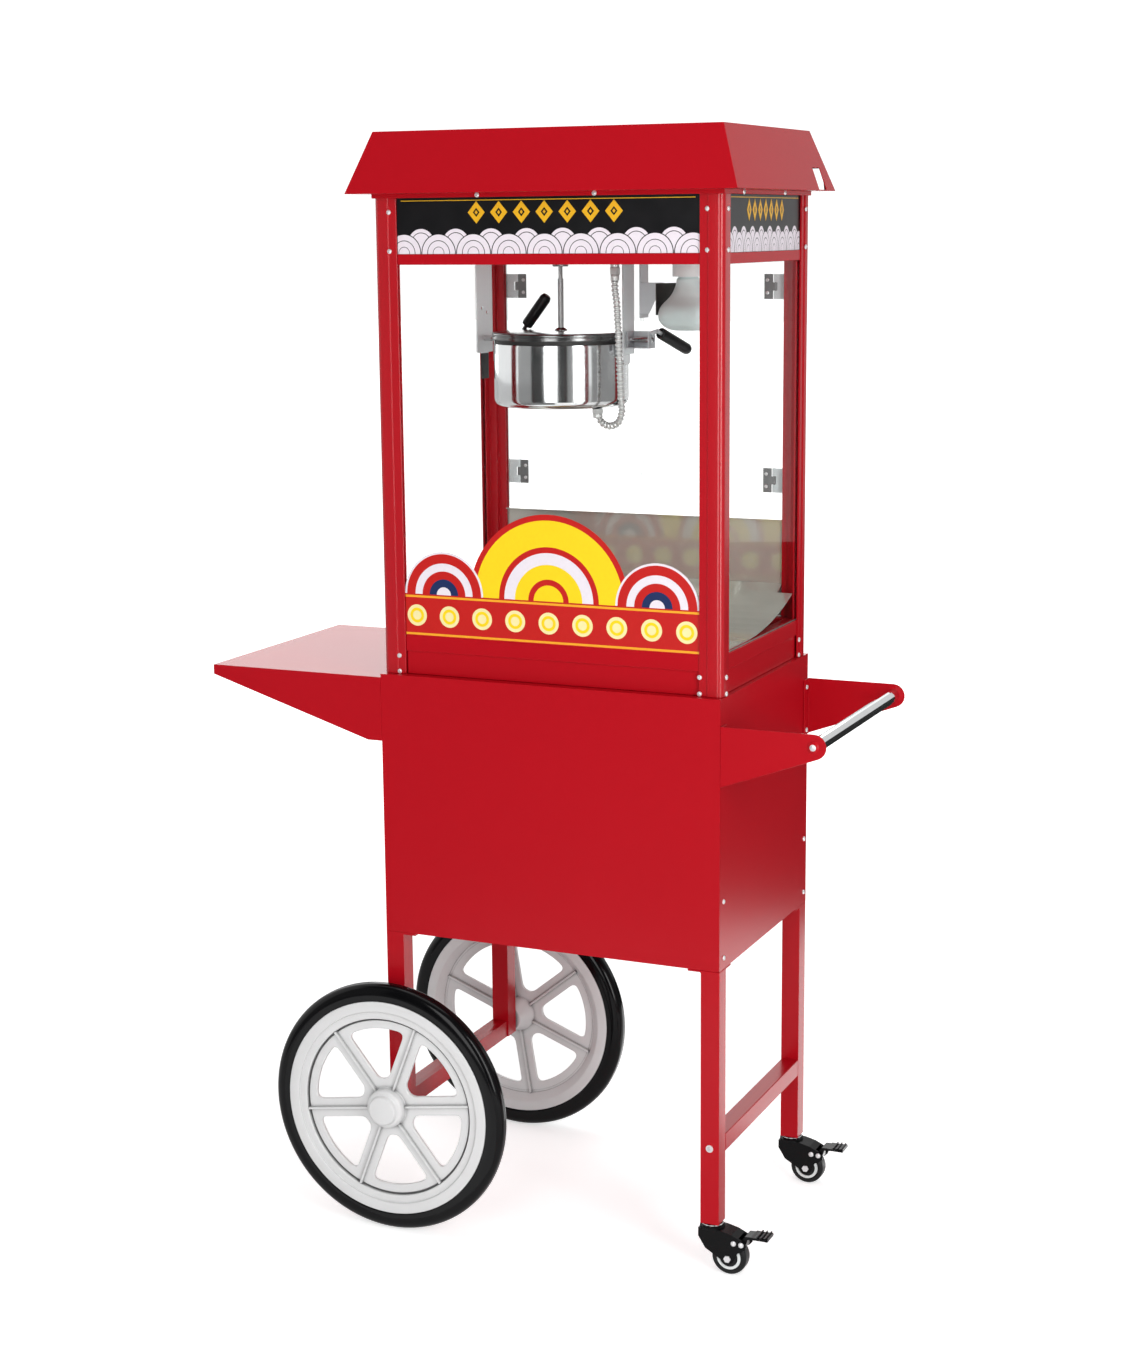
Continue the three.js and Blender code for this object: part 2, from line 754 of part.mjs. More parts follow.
function switchX(i) {
  return (i - (switchNames.length - 1) / 2) * switchPitch;
}

function controlPanel() {
  const holes = switchNames.map((_, i) => block(
    [switchX(i) - switchWidth / 2 - fit, switchX(i) + switchWidth / 2 + fit],
    [0, halfDepth], [switchZ - switchHoleHeight / 2, switchZ + switchHoleHeight / 2]));
  return cut(frontPane([railTop + fit, roofBase - fit], 1), ...holes);
}

// Drawn about its pivot, level; the assembly tips it to its off position.
function rockerSwitch() {
  const x = centred(switchWidth);
  const barrel = rod([x[0], 0, 0], [x[1], 0, 0], switchHoleHeight / 2 - fit);
  const [near, half] = [paddleStandOff, paddleHeight / 2];
  const far = near + paddleThickness;
  const paddle = outline([
    [0, half / 2], [near, half], [far, half], [(near + far) / 2, 0],
    [far, -half], [near, -half], [0, -half / 2],
  ]);
  return join(barrel, extrudeAlongX(paddle, x));
}

function agitatorMotor() {
  const foot = railTop + fit;
  const top = foot + gearboxHeight;
  const half = gearboxWidth / 2;
  const left = -half - gearboxRim;
  const right = motorOffset + half;
  const gearbox = extrudeUp(
    softOutline([[left, -half], [right, -half], [right, half], [left, half]], gearboxWidth / 5),
    [foot, top], 3);
  const canTop = top + motorHeight;
  const can = upright([motorOffset, 0], [top, canTop], motorRadius, 16);
  const cap = upright([motorOffset, 0], [canTop, canTop + motorCapHeight], motorCapRadius, 16);
  const bore = upright([0, 0], [foot - 1, railTop + spindleReach + 2], spindleRadius + fit, spindleSides);
  return toSolid(cut(join(gearbox, can, cap), bore)).translate([kettleX, 0, 0]);
}

function driveCoupling() {
  const top = ceiling - forkBelowCeiling;
  const fork = upright([kettleX, 0], [top - forkHeight, top], forkRadius, 16);
  const slot = block([kettleX - tangThickness / 2 - fit, kettleX + tangThickness / 2 + fit],
    centred(2 * forkRadius + 2), [top - forkHeight - 1, top - forkHeight + forkSlotDepth]);
  const spindle = upright([kettleX, 0], [top - 1, railTop + spindleReach], spindleRadius, spindleSides);
  return join(cut(fork, slot), spindle);
}

// ---------------------------------------------------------------- kettle
function potProfile() {
  const flat = potRadius - potEdgeRadius;
  const edge = arcPoints([flat, potBottom + potEdgeRadius], [potEdgeRadius, potEdgeRadius], -90, 0, 3);
  const bowl = neckRadius - potWall;
  const bowlFloor = potBottom + potFloor;
  return [
    [0, potBottom], ...edge, [potRadius, potTop], [neckRadius, potTop], [neckRadius, pivotZ],
    [bowl, pivotZ], [bowl, bowlFloor + bowlBevel], [bowl - bowlBevel, bowlFloor], [0, bowlFloor],
  ];
}

// A lug on the pot's side with the pivot pin, at the side `sx`.
function lug(sx) {
  const face = sx > 0 ? rightLugX : leftLugX;
  const out = face + sx * lugThickness;
  const plate = extrudeAlongX(softOutline([
    [-lugWidth / 2, pivotZ - lugDrop], [lugWidth / 2, pivotZ - lugDrop],
    [lugWidth / 2, pivotZ + lugRise], [-lugWidth / 2, pivotZ + lugRise],
  ], lugWidth / 4), [Math.min(face, out), Math.max(face, out)], 3);
  const foot = block([kettleX + sx * (potRadius - 4), face + sx * lugThickness], centred(lugWidth),
    [pivotZ - lugDrop, pivotZ - lugFootDrop]);
  const pinEnd = sx > 0 ? tiltArmX + tiltArmLength + rightPinEnd : leftHangerX - hangerThickness - leftPinEnd;
  const pin = rod([face + sx * lugThickness / 2, 0, pivotZ], [pinEnd, 0, pivotZ], pinRadius, 12);
  return join(plate, foot, pin);
}

function kettlePot() {
  const pot = toSolid(turnedUp(potProfile(), kettleSides)).translate([kettleX, 0, 0]);
  const hollow = upright([kettleX, 0], [potBottom + potFloor, pivotZ + lugWidth],
    neckRadius - potWall, kettleSides);
  const lugs = [-1, 1].map((sx) => cut(lug(sx), hollow));
  return join(pot, ...lugs);
}

function wholeLid() {
  const middle = (lidBottom + lidTop) / 2;
  const profile = [
    [0, lidBottom], [lidRadius, lidBottom],
    [lidRadius, middle - lidGroove], [lidRadius - 2, middle - lidGroove],
    [lidRadius - 2, middle], [lidRadius, middle], [lidRadius, lidTop - 3], [lidRadius - 2, lidTop - 1.5],
    [lidRadius - lidShoulder, lidTop], [0, lidTop],
  ];
  return toSolid(turnedUp(profile, kettleSides)).translate([kettleX, 0, 0]);
}

function lidCutter(y) {
  return block([kettleX - 2 * lidRadius, kettleX + 2 * lidRadius], y, [lidBottom - 1, lidTop + 1]);
}

function lidHalf() {
  const behind = lidCutter([lidSplitY - fit / 2, 2 * lidRadius]);
  const boss = upright([kettleX, 0], [lidBottom, lidTop + shaftBossHeight], shaftBossRadius, 16);
  const bore = upright([kettleX, 0], [lidBottom - 1, lidTop + shaftBossHeight + 1], shaftRadius + fit, 12);
  return cut(join(cut(wholeLid(), behind), boss), bore);
}

const lidGripFoot = new THREE.Vector3(kettleX - lidGripFootOut, lidGripFootBack, lidTop);
const lidGripLean = new THREE.Vector3(lidGripLeanOut, 0, lidGripRise).normalize();

function alongFrom(start, direction, distance) {
  return start.clone().addScaledVector(direction, distance).toArray();
}

function lidFlap() {
  const ahead = lidCutter([-2 * lidRadius, lidSplitY + fit / 2]);
  const notch = upright([kettleX, 0], [lidBottom - 1, lidTop + 1], shaftBossRadius + shaftBossClearance, 16);
  const stud = rod(alongFrom(lidGripFoot, lidGripLean, -lidStudRoot),
    alongFrom(lidGripFoot, lidGripLean, lidGripLength * lidGripStudShare), gripRodRadius, 8);
  return join(cut(wholeLid(), ahead, notch), stud);
}

function grip(start, direction, length, radius, boreLength) {
  const body = rod(alongFrom(start, direction, 0), alongFrom(start, direction, length), radius, 16);
  const bore = rod(alongFrom(start, direction, -1), alongFrom(start, direction, boreLength),
    gripRodRadius + fit, 8);
  return cut(body, bore);
}

function lidGrip() {
  const start = lidGripFoot.clone().addScaledVector(lidGripLean, gripRadius);
  return grip(start, lidGripLean, lidGripLength - gripRadius, gripRadius, lidGripLength * lidGripStudShare);
}

// The shaft's flattened top is driven by the fork; the stirrer's two blades sweep the bowl's floor.
function agitator() {
  const low = potBottom + potFloor + stirrerLift;
  const top = pivotZ + tangAbovePivot;
  const shaft = upright([0, 0], [low, top], shaftRadius, 12);
  const flats = [-1, 1].map((side) => block([side * tangThickness / 2, side * (shaftRadius + 1)],
    centred(2 * shaftRadius + 2), [top - tangLength, top + 1]));
  const hub = upright([0, 0], [low, low + stirrerHeight + stirrerArmWidth], stirrerHubRadius, 12);
  const arm = block([-stirrerRadius, stirrerRadius], centred(stirrerArmWidth), [low, low + stirrerHeight]);
  const edge = stirrerArmWidth / 2;
  const blades = [-1, 1].map((side) => extrudeUp(outline([
    [side * stirrerRadius, -side * edge], [side * bladeRoot, side * bladeSweep],
    [side * (bladeRoot - stirrerArmWidth), side * (bladeSweep - edge)],
    [side * (stirrerRadius - 3 * edge), -side * edge],
  ]), [low, low + stirrerHeight]));
  return toSolid(join(cut(shaft, ...flats), hub, arm, ...blades)).translate([kettleX, 0, 0]);
}

// A hanger plate across X, with a folded flange under the ceiling and a hole for the pin.
function hanger(x, width, flangeSide, extra = []) {
  const top = ceiling - fit;
  const plateX = [x, x + hangerThickness];
  const plate = extrudeAlongX(softOutline([
    [-width / 2, pivotZ - hangerDrop], [width / 2, pivotZ - hangerDrop], [width / 2, top], [-width / 2, top],
  ], 2), plateX, 2);
  const fold = flangeSide > 0 ? [plateX[0], plateX[0] + hangerFlange] : [plateX[1] - hangerFlange, plateX[1]];
  const flange = block(fold, centred(width), [top - hangerThickness, top]);
  const hole = rod([x - 1, 0, pivotZ], [x + hangerThickness + 1, 0, pivotZ], pinRadius + fit, 12);
  return cut(join(plate, flange, ...extra), hole);
}

function leftHanger() {
  const x = leftHangerX - hangerThickness / 2;
  const tab = block([x, x + hangerThickness], centred(leftHangerTabWidth),
    [pivotZ - leftHangerTabDrop, pivotZ - hangerDrop + 2]);
  const whole = hanger(x, leftHangerWidth, -1, [tab]);
  const holes = [[-8, 42], [8, 36]].map(([y, rise]) => rod(
    [x - 1, y, pivotZ + rise], [x + hangerThickness + 1, y, pivotZ + rise], 3, 12));
  return cut(whole, ...holes);
}

const tiltGripX = tiltArmX + tiltArmLength + tiltGripStandOff;
const tiltGripStart = new THREE.Vector3(tiltGripX, 0, pivotZ + tiltKneeRise);
const tiltGripLean = new THREE.Vector3(tiltGripLeanOut, tiltGripLeanBack, -tiltGripLeanDown).normalize();

function tiltArm() {
  const z = [pivotZ - tiltArmHeight / 2, pivotZ + tiltArmHeight / 2];
  const x = [tiltArmX, tiltArmX + tiltArmLength];
  const body = block(x, centred(tiltArmWidth), z);
  const inside = block([x[0] + sheet, x[1] - sheet], [-tiltArmWidth, tiltArmWidth / 2 - sheet],
    [z[0] + sheet, z[1] + 1]);
  const hole = rod([x[0] - 1, 0, pivotZ], [x[1] + 1, 0, pivotZ], pinRadius + fit, 12);
  const knee = tiltGripStart.toArray();
  const stem = rod([x[1] - sheet, 0, pivotZ + tiltStemRise], knee, gripRodRadius, 8);
  const core = rod(alongFrom(tiltGripStart, tiltGripLean, -1),
    alongFrom(tiltGripStart, tiltGripLean, gripLength * tiltGripStemShare), gripRodRadius, 8);
  return join(cut(body, inside, hole), stem, core);
}

function tiltGrip() {
  const start = tiltGripStart.clone().addScaledVector(tiltGripLean, gripRadius * 0.8);
  return grip(start, tiltGripLean, gripLength - gripRadius, gripRadius, gripLength * tiltGripBoreShare);
}

// The conduit hangs from the ceiling in a loop to the pot's bottom.
function conduit() {
  const top = ceiling - fit;
  const topX = kettleX + conduitFromKettle;
  const y = conduitY;
  const outX = topX + conduitSwing;
  const loop = conduitLoopRadius;
  const inX = outX - 2 * loop;
  const footY = y + conduitFootBack;
  const foot = potBottom - fit;
  const bend = foot - conduitFootNutHeight;
  const route = [
    [topX, y, top - conduitNutHeight / 2], [topX, y, top - 2.5 * conduitNutHeight],
    [topX + conduitSwing / 3, y, (top + pivotZ) / 2 - conduitNutHeight], [outX - 2, y, bend + 2.5 * loop],
    [outX, y, bend + loop / 2], [outX, y, bend], [outX - 0.3 * loop, y + 2, bend - 0.72 * loop],
    [outX - loop, (y + footY) / 2, bend - loop], [inX + 0.3 * loop, footY - 2, bend - 0.72 * loop],
    [inX, footY, bend], [inX, footY, foot - 3],
  ].map((point) => new THREE.Vector3(...point));
  const section = new THREE.Shape().absarc(0, 0, conduitRadius, 0, 2 * Math.PI, false);
  const tube = new THREE.ExtrudeGeometry(section, {
    steps: 22, curveSegments: 4, bevelEnabled: false, extrudePath: new THREE.CatmullRomCurve3(route),
  });
  const upperNut = upright([topX, y], [top, top - conduitNutHeight], conduitNutRadius, 8);
  const lowerNut = upright([inX, footY], [foot, foot - conduitFootNutHeight], conduitNutRadius, 6);
  return join(tube, upperNut, lowerNut);
}

// ---------------------------------------------------------------- lamp
const bulbBottom = ceiling - bulbLength - bulbHeadroom;

function lampBulb() {
  const widest = bulbBottom + bulbRoundHeight;
  const neckZ = bulbBottom + bulbNeckRise;
  const face = arcPoints([0, widest], [bulbRadius, widest - bulbBottom], -90, 0, 4);
  const profile = [
    ...face.map(([r, z]) => [Math.max(r, 0), z]),
    [bulbRadius - 3, widest + 12], [bulbNeckRadius + 4, neckZ - 14],
    [bulbNeckRadius, neckZ], [bulbNeckRadius, neckZ + 4], [bulbCapRadius, neckZ + 8],
    [bulbCapRadius, bulbBottom + bulbLength],
    [0, bulbBottom + bulbLength],
  ];
  return toSolid(turnedUp(profile, 16)).translate([lampX, lampY, 0]);
}

function lampHolder() {
  const top = ceiling - fit;
  const stripX = lampX - lampStripFromLamp;
  const shieldZ = pivotZ + shieldAbovePivot;
  const plateEdge = socketRadius + 4;
  const plate = block([stripX, lampX + plateEdge], [lampY - plateEdge, lampStripHalf], [top - sheet, top]);
  const strip = block([stripX, stripX + sheet], centred(2 * lampStripHalf),
    [pivotZ + lampStripAbovePivot, top]);
  const shield = extrudeAlongY(outline([
    [stripX, shieldZ], [stripX + shieldFoot, shieldZ],
    [stripX + shieldHead, shieldZ + shieldHeight], [stripX, shieldZ + shieldHeight],
  ]), [-lampStripHalf, sheet - lampStripHalf]);
  const socket = upright([lampX, lampY], [top - socketHeight, top], socketRadius, 16);
  const bore = upright([lampX, lampY], [top - socketHeight - 1, top - sheet], bulbCapRadius + fit, 16);
  return cut(join(plate, strip, shield, socket), bore);
}

// ---------------------------------------------------------------- cart
const doorPivot = {
  x: -cartDoorWidth / 2 + cartDoorPivotInset,
  y: cartHalfDepth - cartDoorPivotInset,
};
const doorZ = centred(cartDoorHeight).map((z) => z + cartBottom + cartHeight / 2);
const doorGap = (Math.SQRT2 - 1) * cartDoorPivotInset + 2 * fit;

function cartBox() {
  const outer = block(centred(cartWidth), centred(cartDepth), [cartBottom, cartTop]);
  const inner = block(centred(cartWidth - 2 * sheet), [-cartHalfDepth + sheet, cartHalfDepth - cartFrame],
    [cartBottom + sheet, cartTop - sheet]);
  const opening = block(centred(cartDoorWidth + 2 * doorGap), [0, cartDepth],
    [doorZ[0] - fit, doorZ[1] + fit]);
  const holeDepth = cartDoorPinLength + 1;
  const pinHoles = [[doorZ[0] - holeDepth, doorZ[0]], [doorZ[1], doorZ[1] + holeDepth]]
    .map(([z0, z1]) => upright([doorPivot.x, doorPivot.y], [z0, z1], cartDoorPinRadius + fit, 12));
  return cut(outer, inner, opening, ...pinHoles);
}

function cartDoor() {
  const outer = block(centred(cartDoorWidth), [cartHalfDepth - cartDoorDepth, cartHalfDepth], doorZ);
  const wall = 2 * cartDoorPivotInset;
  const hollow = block(centred(cartDoorWidth - 2 * wall), [0, cartHalfDepth - sheet],
    [doorZ[0] + wall, doorZ[1] - wall]);
  const pin = rod([doorPivot.x, doorPivot.y, doorZ[0] - cartDoorPinLength],
    [doorPivot.x, doorPivot.y, doorZ[1] + cartDoorPinLength], cartDoorPinRadius, 12);
  const knobProfile = [
    [0, -1], [knobRadius * 0.5, -1], [knobRadius * 0.45, knobReach * 0.4],
    ...arcPoints([0, knobReach * 0.65], [knobRadius, knobReach * 0.35], -30, 90, 5),
  ];
  const knob = turnedAlongY(knobProfile.map(([r, y]) => [Math.abs(r) < 1e-6 ? 0 : r, y]), 12)
    .translate(cartDoorWidth / 2 - knobInset, cartHalfDepth, (doorZ[0] + doorZ[1]) / 2);
  return join(cut(outer, hollow), pin, knob);
}

function legBody(sx, sy, bottom) {
  const [x, y] = [sx * cartHalfWidth, sy * cartHalfDepth];
  const top = cartBottom - fit;
  const tube = block([x, x - sx * legSize], [y, y - sy * legSize], [bottom, top]);
  const flange = block([x, x - sx * legFlange], [y, y - sy * legFlange], [top - legFlangeThickness, top]);
  return join(tube, flange);
}

function wheelEndFrame() {
  const bar = block([-cartHalfWidth, -cartHalfWidth + crossBarSize], centred(cartDepth - 2),
    [crossBarBottom, crossBarBottom + crossBarSize]);
  const axleEnd = wheelTrack / 2 + axleOverhang;
  const axle = rod([axleX, -axleEnd, wheelRadius], [axleX, axleEnd, wheelRadius], axleRadius, 12);
  const nuts = [-1, 1].map((sy) => rod([axleX, sy * (axleEnd - axleNutHeight), wheelRadius],
    [axleX, sy * axleEnd, wheelRadius], axleRadius + axleNutHeight, 12));
  return join(legBody(-1, -1, crossBarBottom), legBody(-1, 1, crossBarBottom), bar, axle, ...nuts);
}

function casterLeg(sy) {
  const bore = upright([legX, sy * legY], [casterHeight - 1, casterHeight + casterStemLength + 2],
    casterStemRadius + fit);
  return cut(legBody(1, sy, casterHeight), bore);
}

function stretcher() {
  return block([cartHalfWidth - stretcherSize, cartHalfWidth], centred(cartDepth - 2 * (legSize + fit)),
    [stretcherBottom, stretcherBottom + stretcherSize]);
}

function shelf() {
  const root = -cartHalfWidth - fit;
  const tip = root - shelfLength;
  const top = block([tip, root], centred(cartDepth), [shelfTop - sheet, shelfTop]);
  const lip = block([tip, tip + sheet], centred(cartDepth), [shelfTop - shelfLip, shelfTop]);
  const side = outline([
    [tip, shelfTop], [tip, shelfTop - shelfLip], [root - gussetFlat, shelfTop - gussetDrop],
    [root, shelfTop - gussetDrop], [root, shelfTop],
  ]);
  const gussets = [-1, 1].map((sy) => extrudeAlongY(side,
    sy < 0 ? [-cartHalfDepth, -cartHalfDepth + sheet] : [cartHalfDepth - sheet, cartHalfDepth]));
  const flanges = [-1, 1].map((sy) => block([root - sheet, root],
    [sy * cartHalfDepth, sy * (cartHalfDepth - shelfFlange)], [shelfTop - gussetDrop, shelfTop]));
  const rootFlange = block([root - sheet, root], centred(cartDepth), [shelfTop - shelfFlange, shelfTop]);
  return join(top, lip, rootFlange, ...gussets, ...flanges);
}

function handleBracket(sy) {
  const root = cartHalfWidth + fit;
  const top = handleZ + handleEndRadius;
  const low = top - handleRootHeight;
  const toEnd = Math.hypot(handleX - root, handleZ - low);
  const lean = Math.atan2(handleZ - low, handleX - root) - Math.asin(handleEndRadius / toEnd);
  const plate = new THREE.Shape();
  plate.moveTo(root, top);
  plate.lineTo(root, low);
  plate.lineTo(handleX + handleEndRadius * Math.sin(lean), handleZ - handleEndRadius * Math.cos(lean));
  plate.absarc(handleX, handleZ, handleEndRadius, lean - Math.PI / 2, Math.PI / 2, false);
  plate.closePath();
  const faces = [sy * cartHalfDepth, sy * (cartHalfDepth - bracketThickness)].sort((a, b) => a - b);
  const body = extrudeAlongY(plate, faces, 5);
  const flange = block([root, root + bracketThickness],
    [sy * cartHalfDepth, sy * (cartHalfDepth - bracketFlange)], [low, top]);
  const plugEnd = sy * (cartHalfDepth - plugLength);
  const plug = rod([handleX, sy * cartHalfDepth, handleZ], [handleX, plugEnd, handleZ],
    handleTubeRadius - handleTubeWall - fit, 12);
  const head = turnedAlongY([
    [0, -boltHeadRim / 2], [boltHeadRadius, -boltHeadRim / 2], [boltHeadRadius, boltHeadRim],
    [boltHeadRadius * 0.6, boltHeadHeight * 0.8], [0, boltHeadHeight],
  ], 12);
  if (sy < 0) {
    head.rotateX(Math.PI);
  }
  return join(body, flange, plug, head.translate(handleX, sy * cartHalfDepth, handleZ));
}

function handleTube() {
  const half = cartHalfDepth - bracketThickness - fit;
  const tube = rod([handleX, -half, handleZ], [handleX, half, handleZ], handleTubeRadius, 16);
  const bore = rod([handleX, -half - 1, handleZ], [handleX, half + 1, handleZ],
    handleTubeRadius - handleTubeWall, 16);
  return cut(tube, bore);
}

// ---------------------------------------------------------------- wheels
// The rim is drawn about its own middle plane, with its outer face toward -Y.
function rimProfile() {
  const half = rimWidth / 2;
  const bore = axleRadius + fit;
  const nutRoom = axleRadius + hubNutClearance;
  const nutDepth = hubReach - 2 * rimFlange;
  return [
    [0, -hubCapReach], [hubCapRadius, -hubReach], [hubRadius, -hubReach],
    [hubRadius, -webFace], [stepRadius, -webFace],
    [stepRadius, rimFlange - half], [grooveRadius, rimFlange - half],
    [grooveRadius, -half], [rimRadius, -half], [rimRadius, half],
    [grooveRadius, half], [stepRadius, 0], [hubRadius, 0], [bore + hubWall, hubInnerReach],
    [bore, hubInnerReach], [bore, -nutDepth], [nutRoom, -nutDepth], [nutRoom, rimFlange - hubCapReach],
    [0, rimFlange - hubCapReach],
  ];
}

function spokeWindow() {
  const half = Math.PI / spokes;
  const edgeAngle = (radius) => half - Math.asin(spokeWidth / 2 / radius);
  const at = (radius, angle) => [radius * Math.cos(angle), radius * Math.sin(angle)];
  const outer = edgeAngle(windowOuterRadius);
  const inner = edgeAngle(windowInnerRadius);
  const arc = [-1, 0, 1].map((share) => at(windowOuterRadius, outer * share));
  return softOutline([...arc, at(windowInnerRadius, inner), at(windowInnerRadius, -inner)], windowCorner);
}

function wheelRim() {
  const body = turnedAlongY(rimProfile(), wheelSides);
  const windows = [];
  const fins = [];
  const turn = 2 * Math.PI / spokes;
  for (let i = 0; i < spokes; i += 1) {
    const window = extrudeAlongY(spokeWindow(), centred(2 * rimWidth), 2);
    windows.push(window.rotateY(turn * (i + 0.5)));
    const fin = extrudeAlongY(outline([
      [hubRadius - 4, -finThickness / 2], [stepRadius + 1, -finThickness / 2],
      [stepRadius + 1, finThickness / 2], [hubRadius - 4, finThickness / 2],
    ]), [-webFace - finHeight / 2, finHeight / 2]);
    fins.push(fin.rotateY(turn * i));
  }
  return cut(join(cut(body, ...windows), ...fins));
}

function tyre() {
  const bead = rimRadius + fit;
  const shoulder = bead + tyreShoulder;
  const crown = arcPoints([shoulder, 0], [wheelRadius - shoulder, tyreWidth / 2], -90, 90, 4);
  const profile = [[bead, -rimWidth / 2 + 1], ...crown, [bead, rimWidth / 2 - 1], [bead, -rimWidth / 2 + 1]];
  return turnedAlongY(profile, wheelSides);
}

// ---------------------------------------------------------------- casters
// Drawn about the swivel axis, with the floor at zero and the wheel trailing toward +X.
function casterFork() {
  const neckTop = casterHeight - casterNeck;
  const ear = casterEarRadius;
  const side = new THREE.Shape();
  side.moveTo(-casterNeckHalf, neckTop);
  side.lineTo(-casterNeckHalf, neckTop - casterNeckDrop);
  side.quadraticCurveTo(casterThroatX, casterThroatZ, casterTrail - ear, casterWheelRadius - ear / 3);
  side.absarc(casterTrail, casterWheelRadius, ear, Math.PI * 1.1, Math.PI * 1.95, false);
  side.quadraticCurveTo(casterTrail - casterThroatX, pedalEarUnder,
    pedalPivotX + 3, pedalPivotZ - pedalEarRadius);
  side.absarc(pedalPivotX, pedalPivotZ, pedalEarRadius, -Math.PI * 0.35, Math.PI * 0.4, false);
  side.quadraticCurveTo(casterTrail + casterNeck, neckTop - 2, casterNeckHalf, neckTop);
  side.closePath();
  const shell = extrudeAlongY(side, centred(casterForkWidth), 2);
  const slot = block([2 - casterNeckHalf, casterTrail + 2 * pedalPivotX], centred(casterSlot),
    [-casterSlot, casterSlotTop]);
  const raceBottom = neckTop - 2;
  const race = turnedUp([
    [0, raceBottom], [casterRaceRadius, raceBottom], [casterRaceRadius, raceBottom + casterRaceRise],
    [casterRaceRadius - casterRaceRise, casterHeight - fit], [0, casterHeight - fit],
  ], 12);
  const stem = upright([0, 0], [casterHeight - 2, casterHeight + casterStemLength], casterStemRadius);
  const axleEnd = casterForkWidth / 2 + 2;
  const axle = rod([casterTrail, -axleEnd, casterWheelRadius], [casterTrail, axleEnd, casterWheelRadius],
    casterAxleRadius);
  const pinEnd = casterForkWidth / 2 + 1;
  const pin = rod([pedalPivotX, -pinEnd, pedalPivotZ], [pedalPivotX, pinEnd, pedalPivotZ], pedalPinRadius, 8);
  return join(cut(shell, slot), race, stem, axle, pin);
}

function casterWheel() {
  const half = casterWheelWidth / 2;
  const tread = [[casterWheelRadius - 3, half], [casterWheelRadius, half - 4]];
  const web = casterWheelRadius - 8;
  const side = [
    [casterAxleRadius + fit, half + 1], [casterEarRadius, half + 1], [web, half - sheet], ...tread,
  ];
  const mirror = side.map(([r, y]) => [r, -y]).reverse();
  return turnedAlongY([...side, ...mirror, side[0]], 16).translate(casterTrail, 0, casterWheelRadius);
}

function brakePedal() {
  const tip = pedalPivotX + pedalReach;
  const [x, z] = [pedalPivotX, pedalPivotZ];
  const top = z + pedalRise;
  const plate = outline([
    [x - pedalHub, z - 1], [x - 1, z - pedalHub + 0.4], [x + pedalHub, z - pedalHub + 1],
    [x + 2 * pedalHub, top - 2 * pedalPlate + 0.5], [tip, top - pedalPlate],
    [tip, top], [x + pedalHub, top - 2.5], [x - pedalHub, z + pedalHub],
  ]);
  const hub = extrudeAlongY(plate, centred(casterSlot - 2 * fit - 1));
  const toeTop = top - ribWidth;
  const toe = block([x + toeStart, tip], centred(pedalWidth), [toeTop - toeThickness, toeTop]);
  const ribs = Array.from({ length: ribCount }, (_, i) => {
    const end = tip - 2 - ribPitch * i;
    return block([end - ribWidth, end], centred(pedalWidth), [toeTop - 1, top + ribHeight]);
  });
  const bore = rod([x, -casterForkWidth, z], [x, casterForkWidth, z], pedalPinRadius + fit, 8);
  return cut(join(hub, toe, ...ribs), bore);
}

// ---------------------------------------------------------------- assembly
function addHead(group) {
  group.add(part('roof', roof(), redPaint));
  group.add(part('ceiling_pan', ceilingPan(), redPaint));
  const signZ = [railTop + fit, roofBase - fit];
  group.add(part('sign_front', frontPane(signZ), signBlack));
  group.add(part('sign_left', sidePane(-1, signZ), signBlack));
  group.add(part('sign_right', sidePane(1, signZ), signBlack));
  group.add(part('control_panel', controlPanel(), steel));
  switchNames.forEach((name, i) => {
    const rocker = part(`rocker_${name}`, rockerSwitch(), blackPlastic);
    rocker.position.set(switchX(i), switchY, switchZ);
    rocker.rotation.x = THREE.MathUtils.degToRad(-switchTip);
    group.add(rocker);
  });
  group.add(part('agitator_motor', agitatorMotor(), blackSteel));
  group.add(part('drive_coupling', driveCoupling(), steel));
}

function addCabinet(group) {
  group.add(part('post_front_left', cornerPost(-1, -1), redPaint));
  group.add(part('post_front_right', cornerPost(1, -1), redPaint));
  group.add(part('post_rear_left', rearPost(-1), redPaint));
  group.add(part('post_rear_right', rearPost(1), redPaint));
  group.add(part('base_frame', baseFrame(), redPaint));
  const glassZ = [baseTop + fit, glassTop - fit];
  group.add(part('glass_front', frontPane(glassZ), glass));
  group.add(part('glass_left', sidePane(-1, glassZ), glass));
  group.add(part('glass_right', sidePane(1, glassZ), glass));
  const [lower, upper] = hingeLevels();
  for (const [side, sx] of [['left', -1], ['right', 1]]) {
    group.add(part(`door_${side}`, rearDoor(sx), glass));
    group.add(part(`hinge_leaf_${side}_lower`, movingLeaf(sx, lower), steel));
    group.add(part(`hinge_leaf_${side}_upper`, movingLeaf(sx, upper), steel));
  }
  group.add(part('rear_lower_panel', rearLowerPanel(), steel));
  group.add(part('serving_deck', servingDeck(), steel));
  group.add(part('crumb_drawer', crumbDrawer(), steel));
}

function addKettle(group) {
  group.add(part('kettle_pot', kettlePot(), steel));
  group.add(part('lid_half', lidHalf(), steel));
  group.add(part('lid_flap', lidFlap(), steel));
  group.add(part('lid_grip', lidGrip(), blackPlastic));
  group.add(part('agitator', agitator(), steel));
  group.add(part('tilt_arm', tiltArm(), steel));
  group.add(part('tilt_grip', tiltGrip(), blackPlastic));
  group.add(part('hanger_left', leftHanger(), steel));
  group.add(part('hanger_right', hanger(rightHangerX, rightHangerWidth, 1), steel));
  group.add(part('conduit', conduit(), steel));
  group.add(part('lamp_holder', lampHolder(), steel));
  group.add(part('lamp_bulb', lampBulb(), frosted));
}

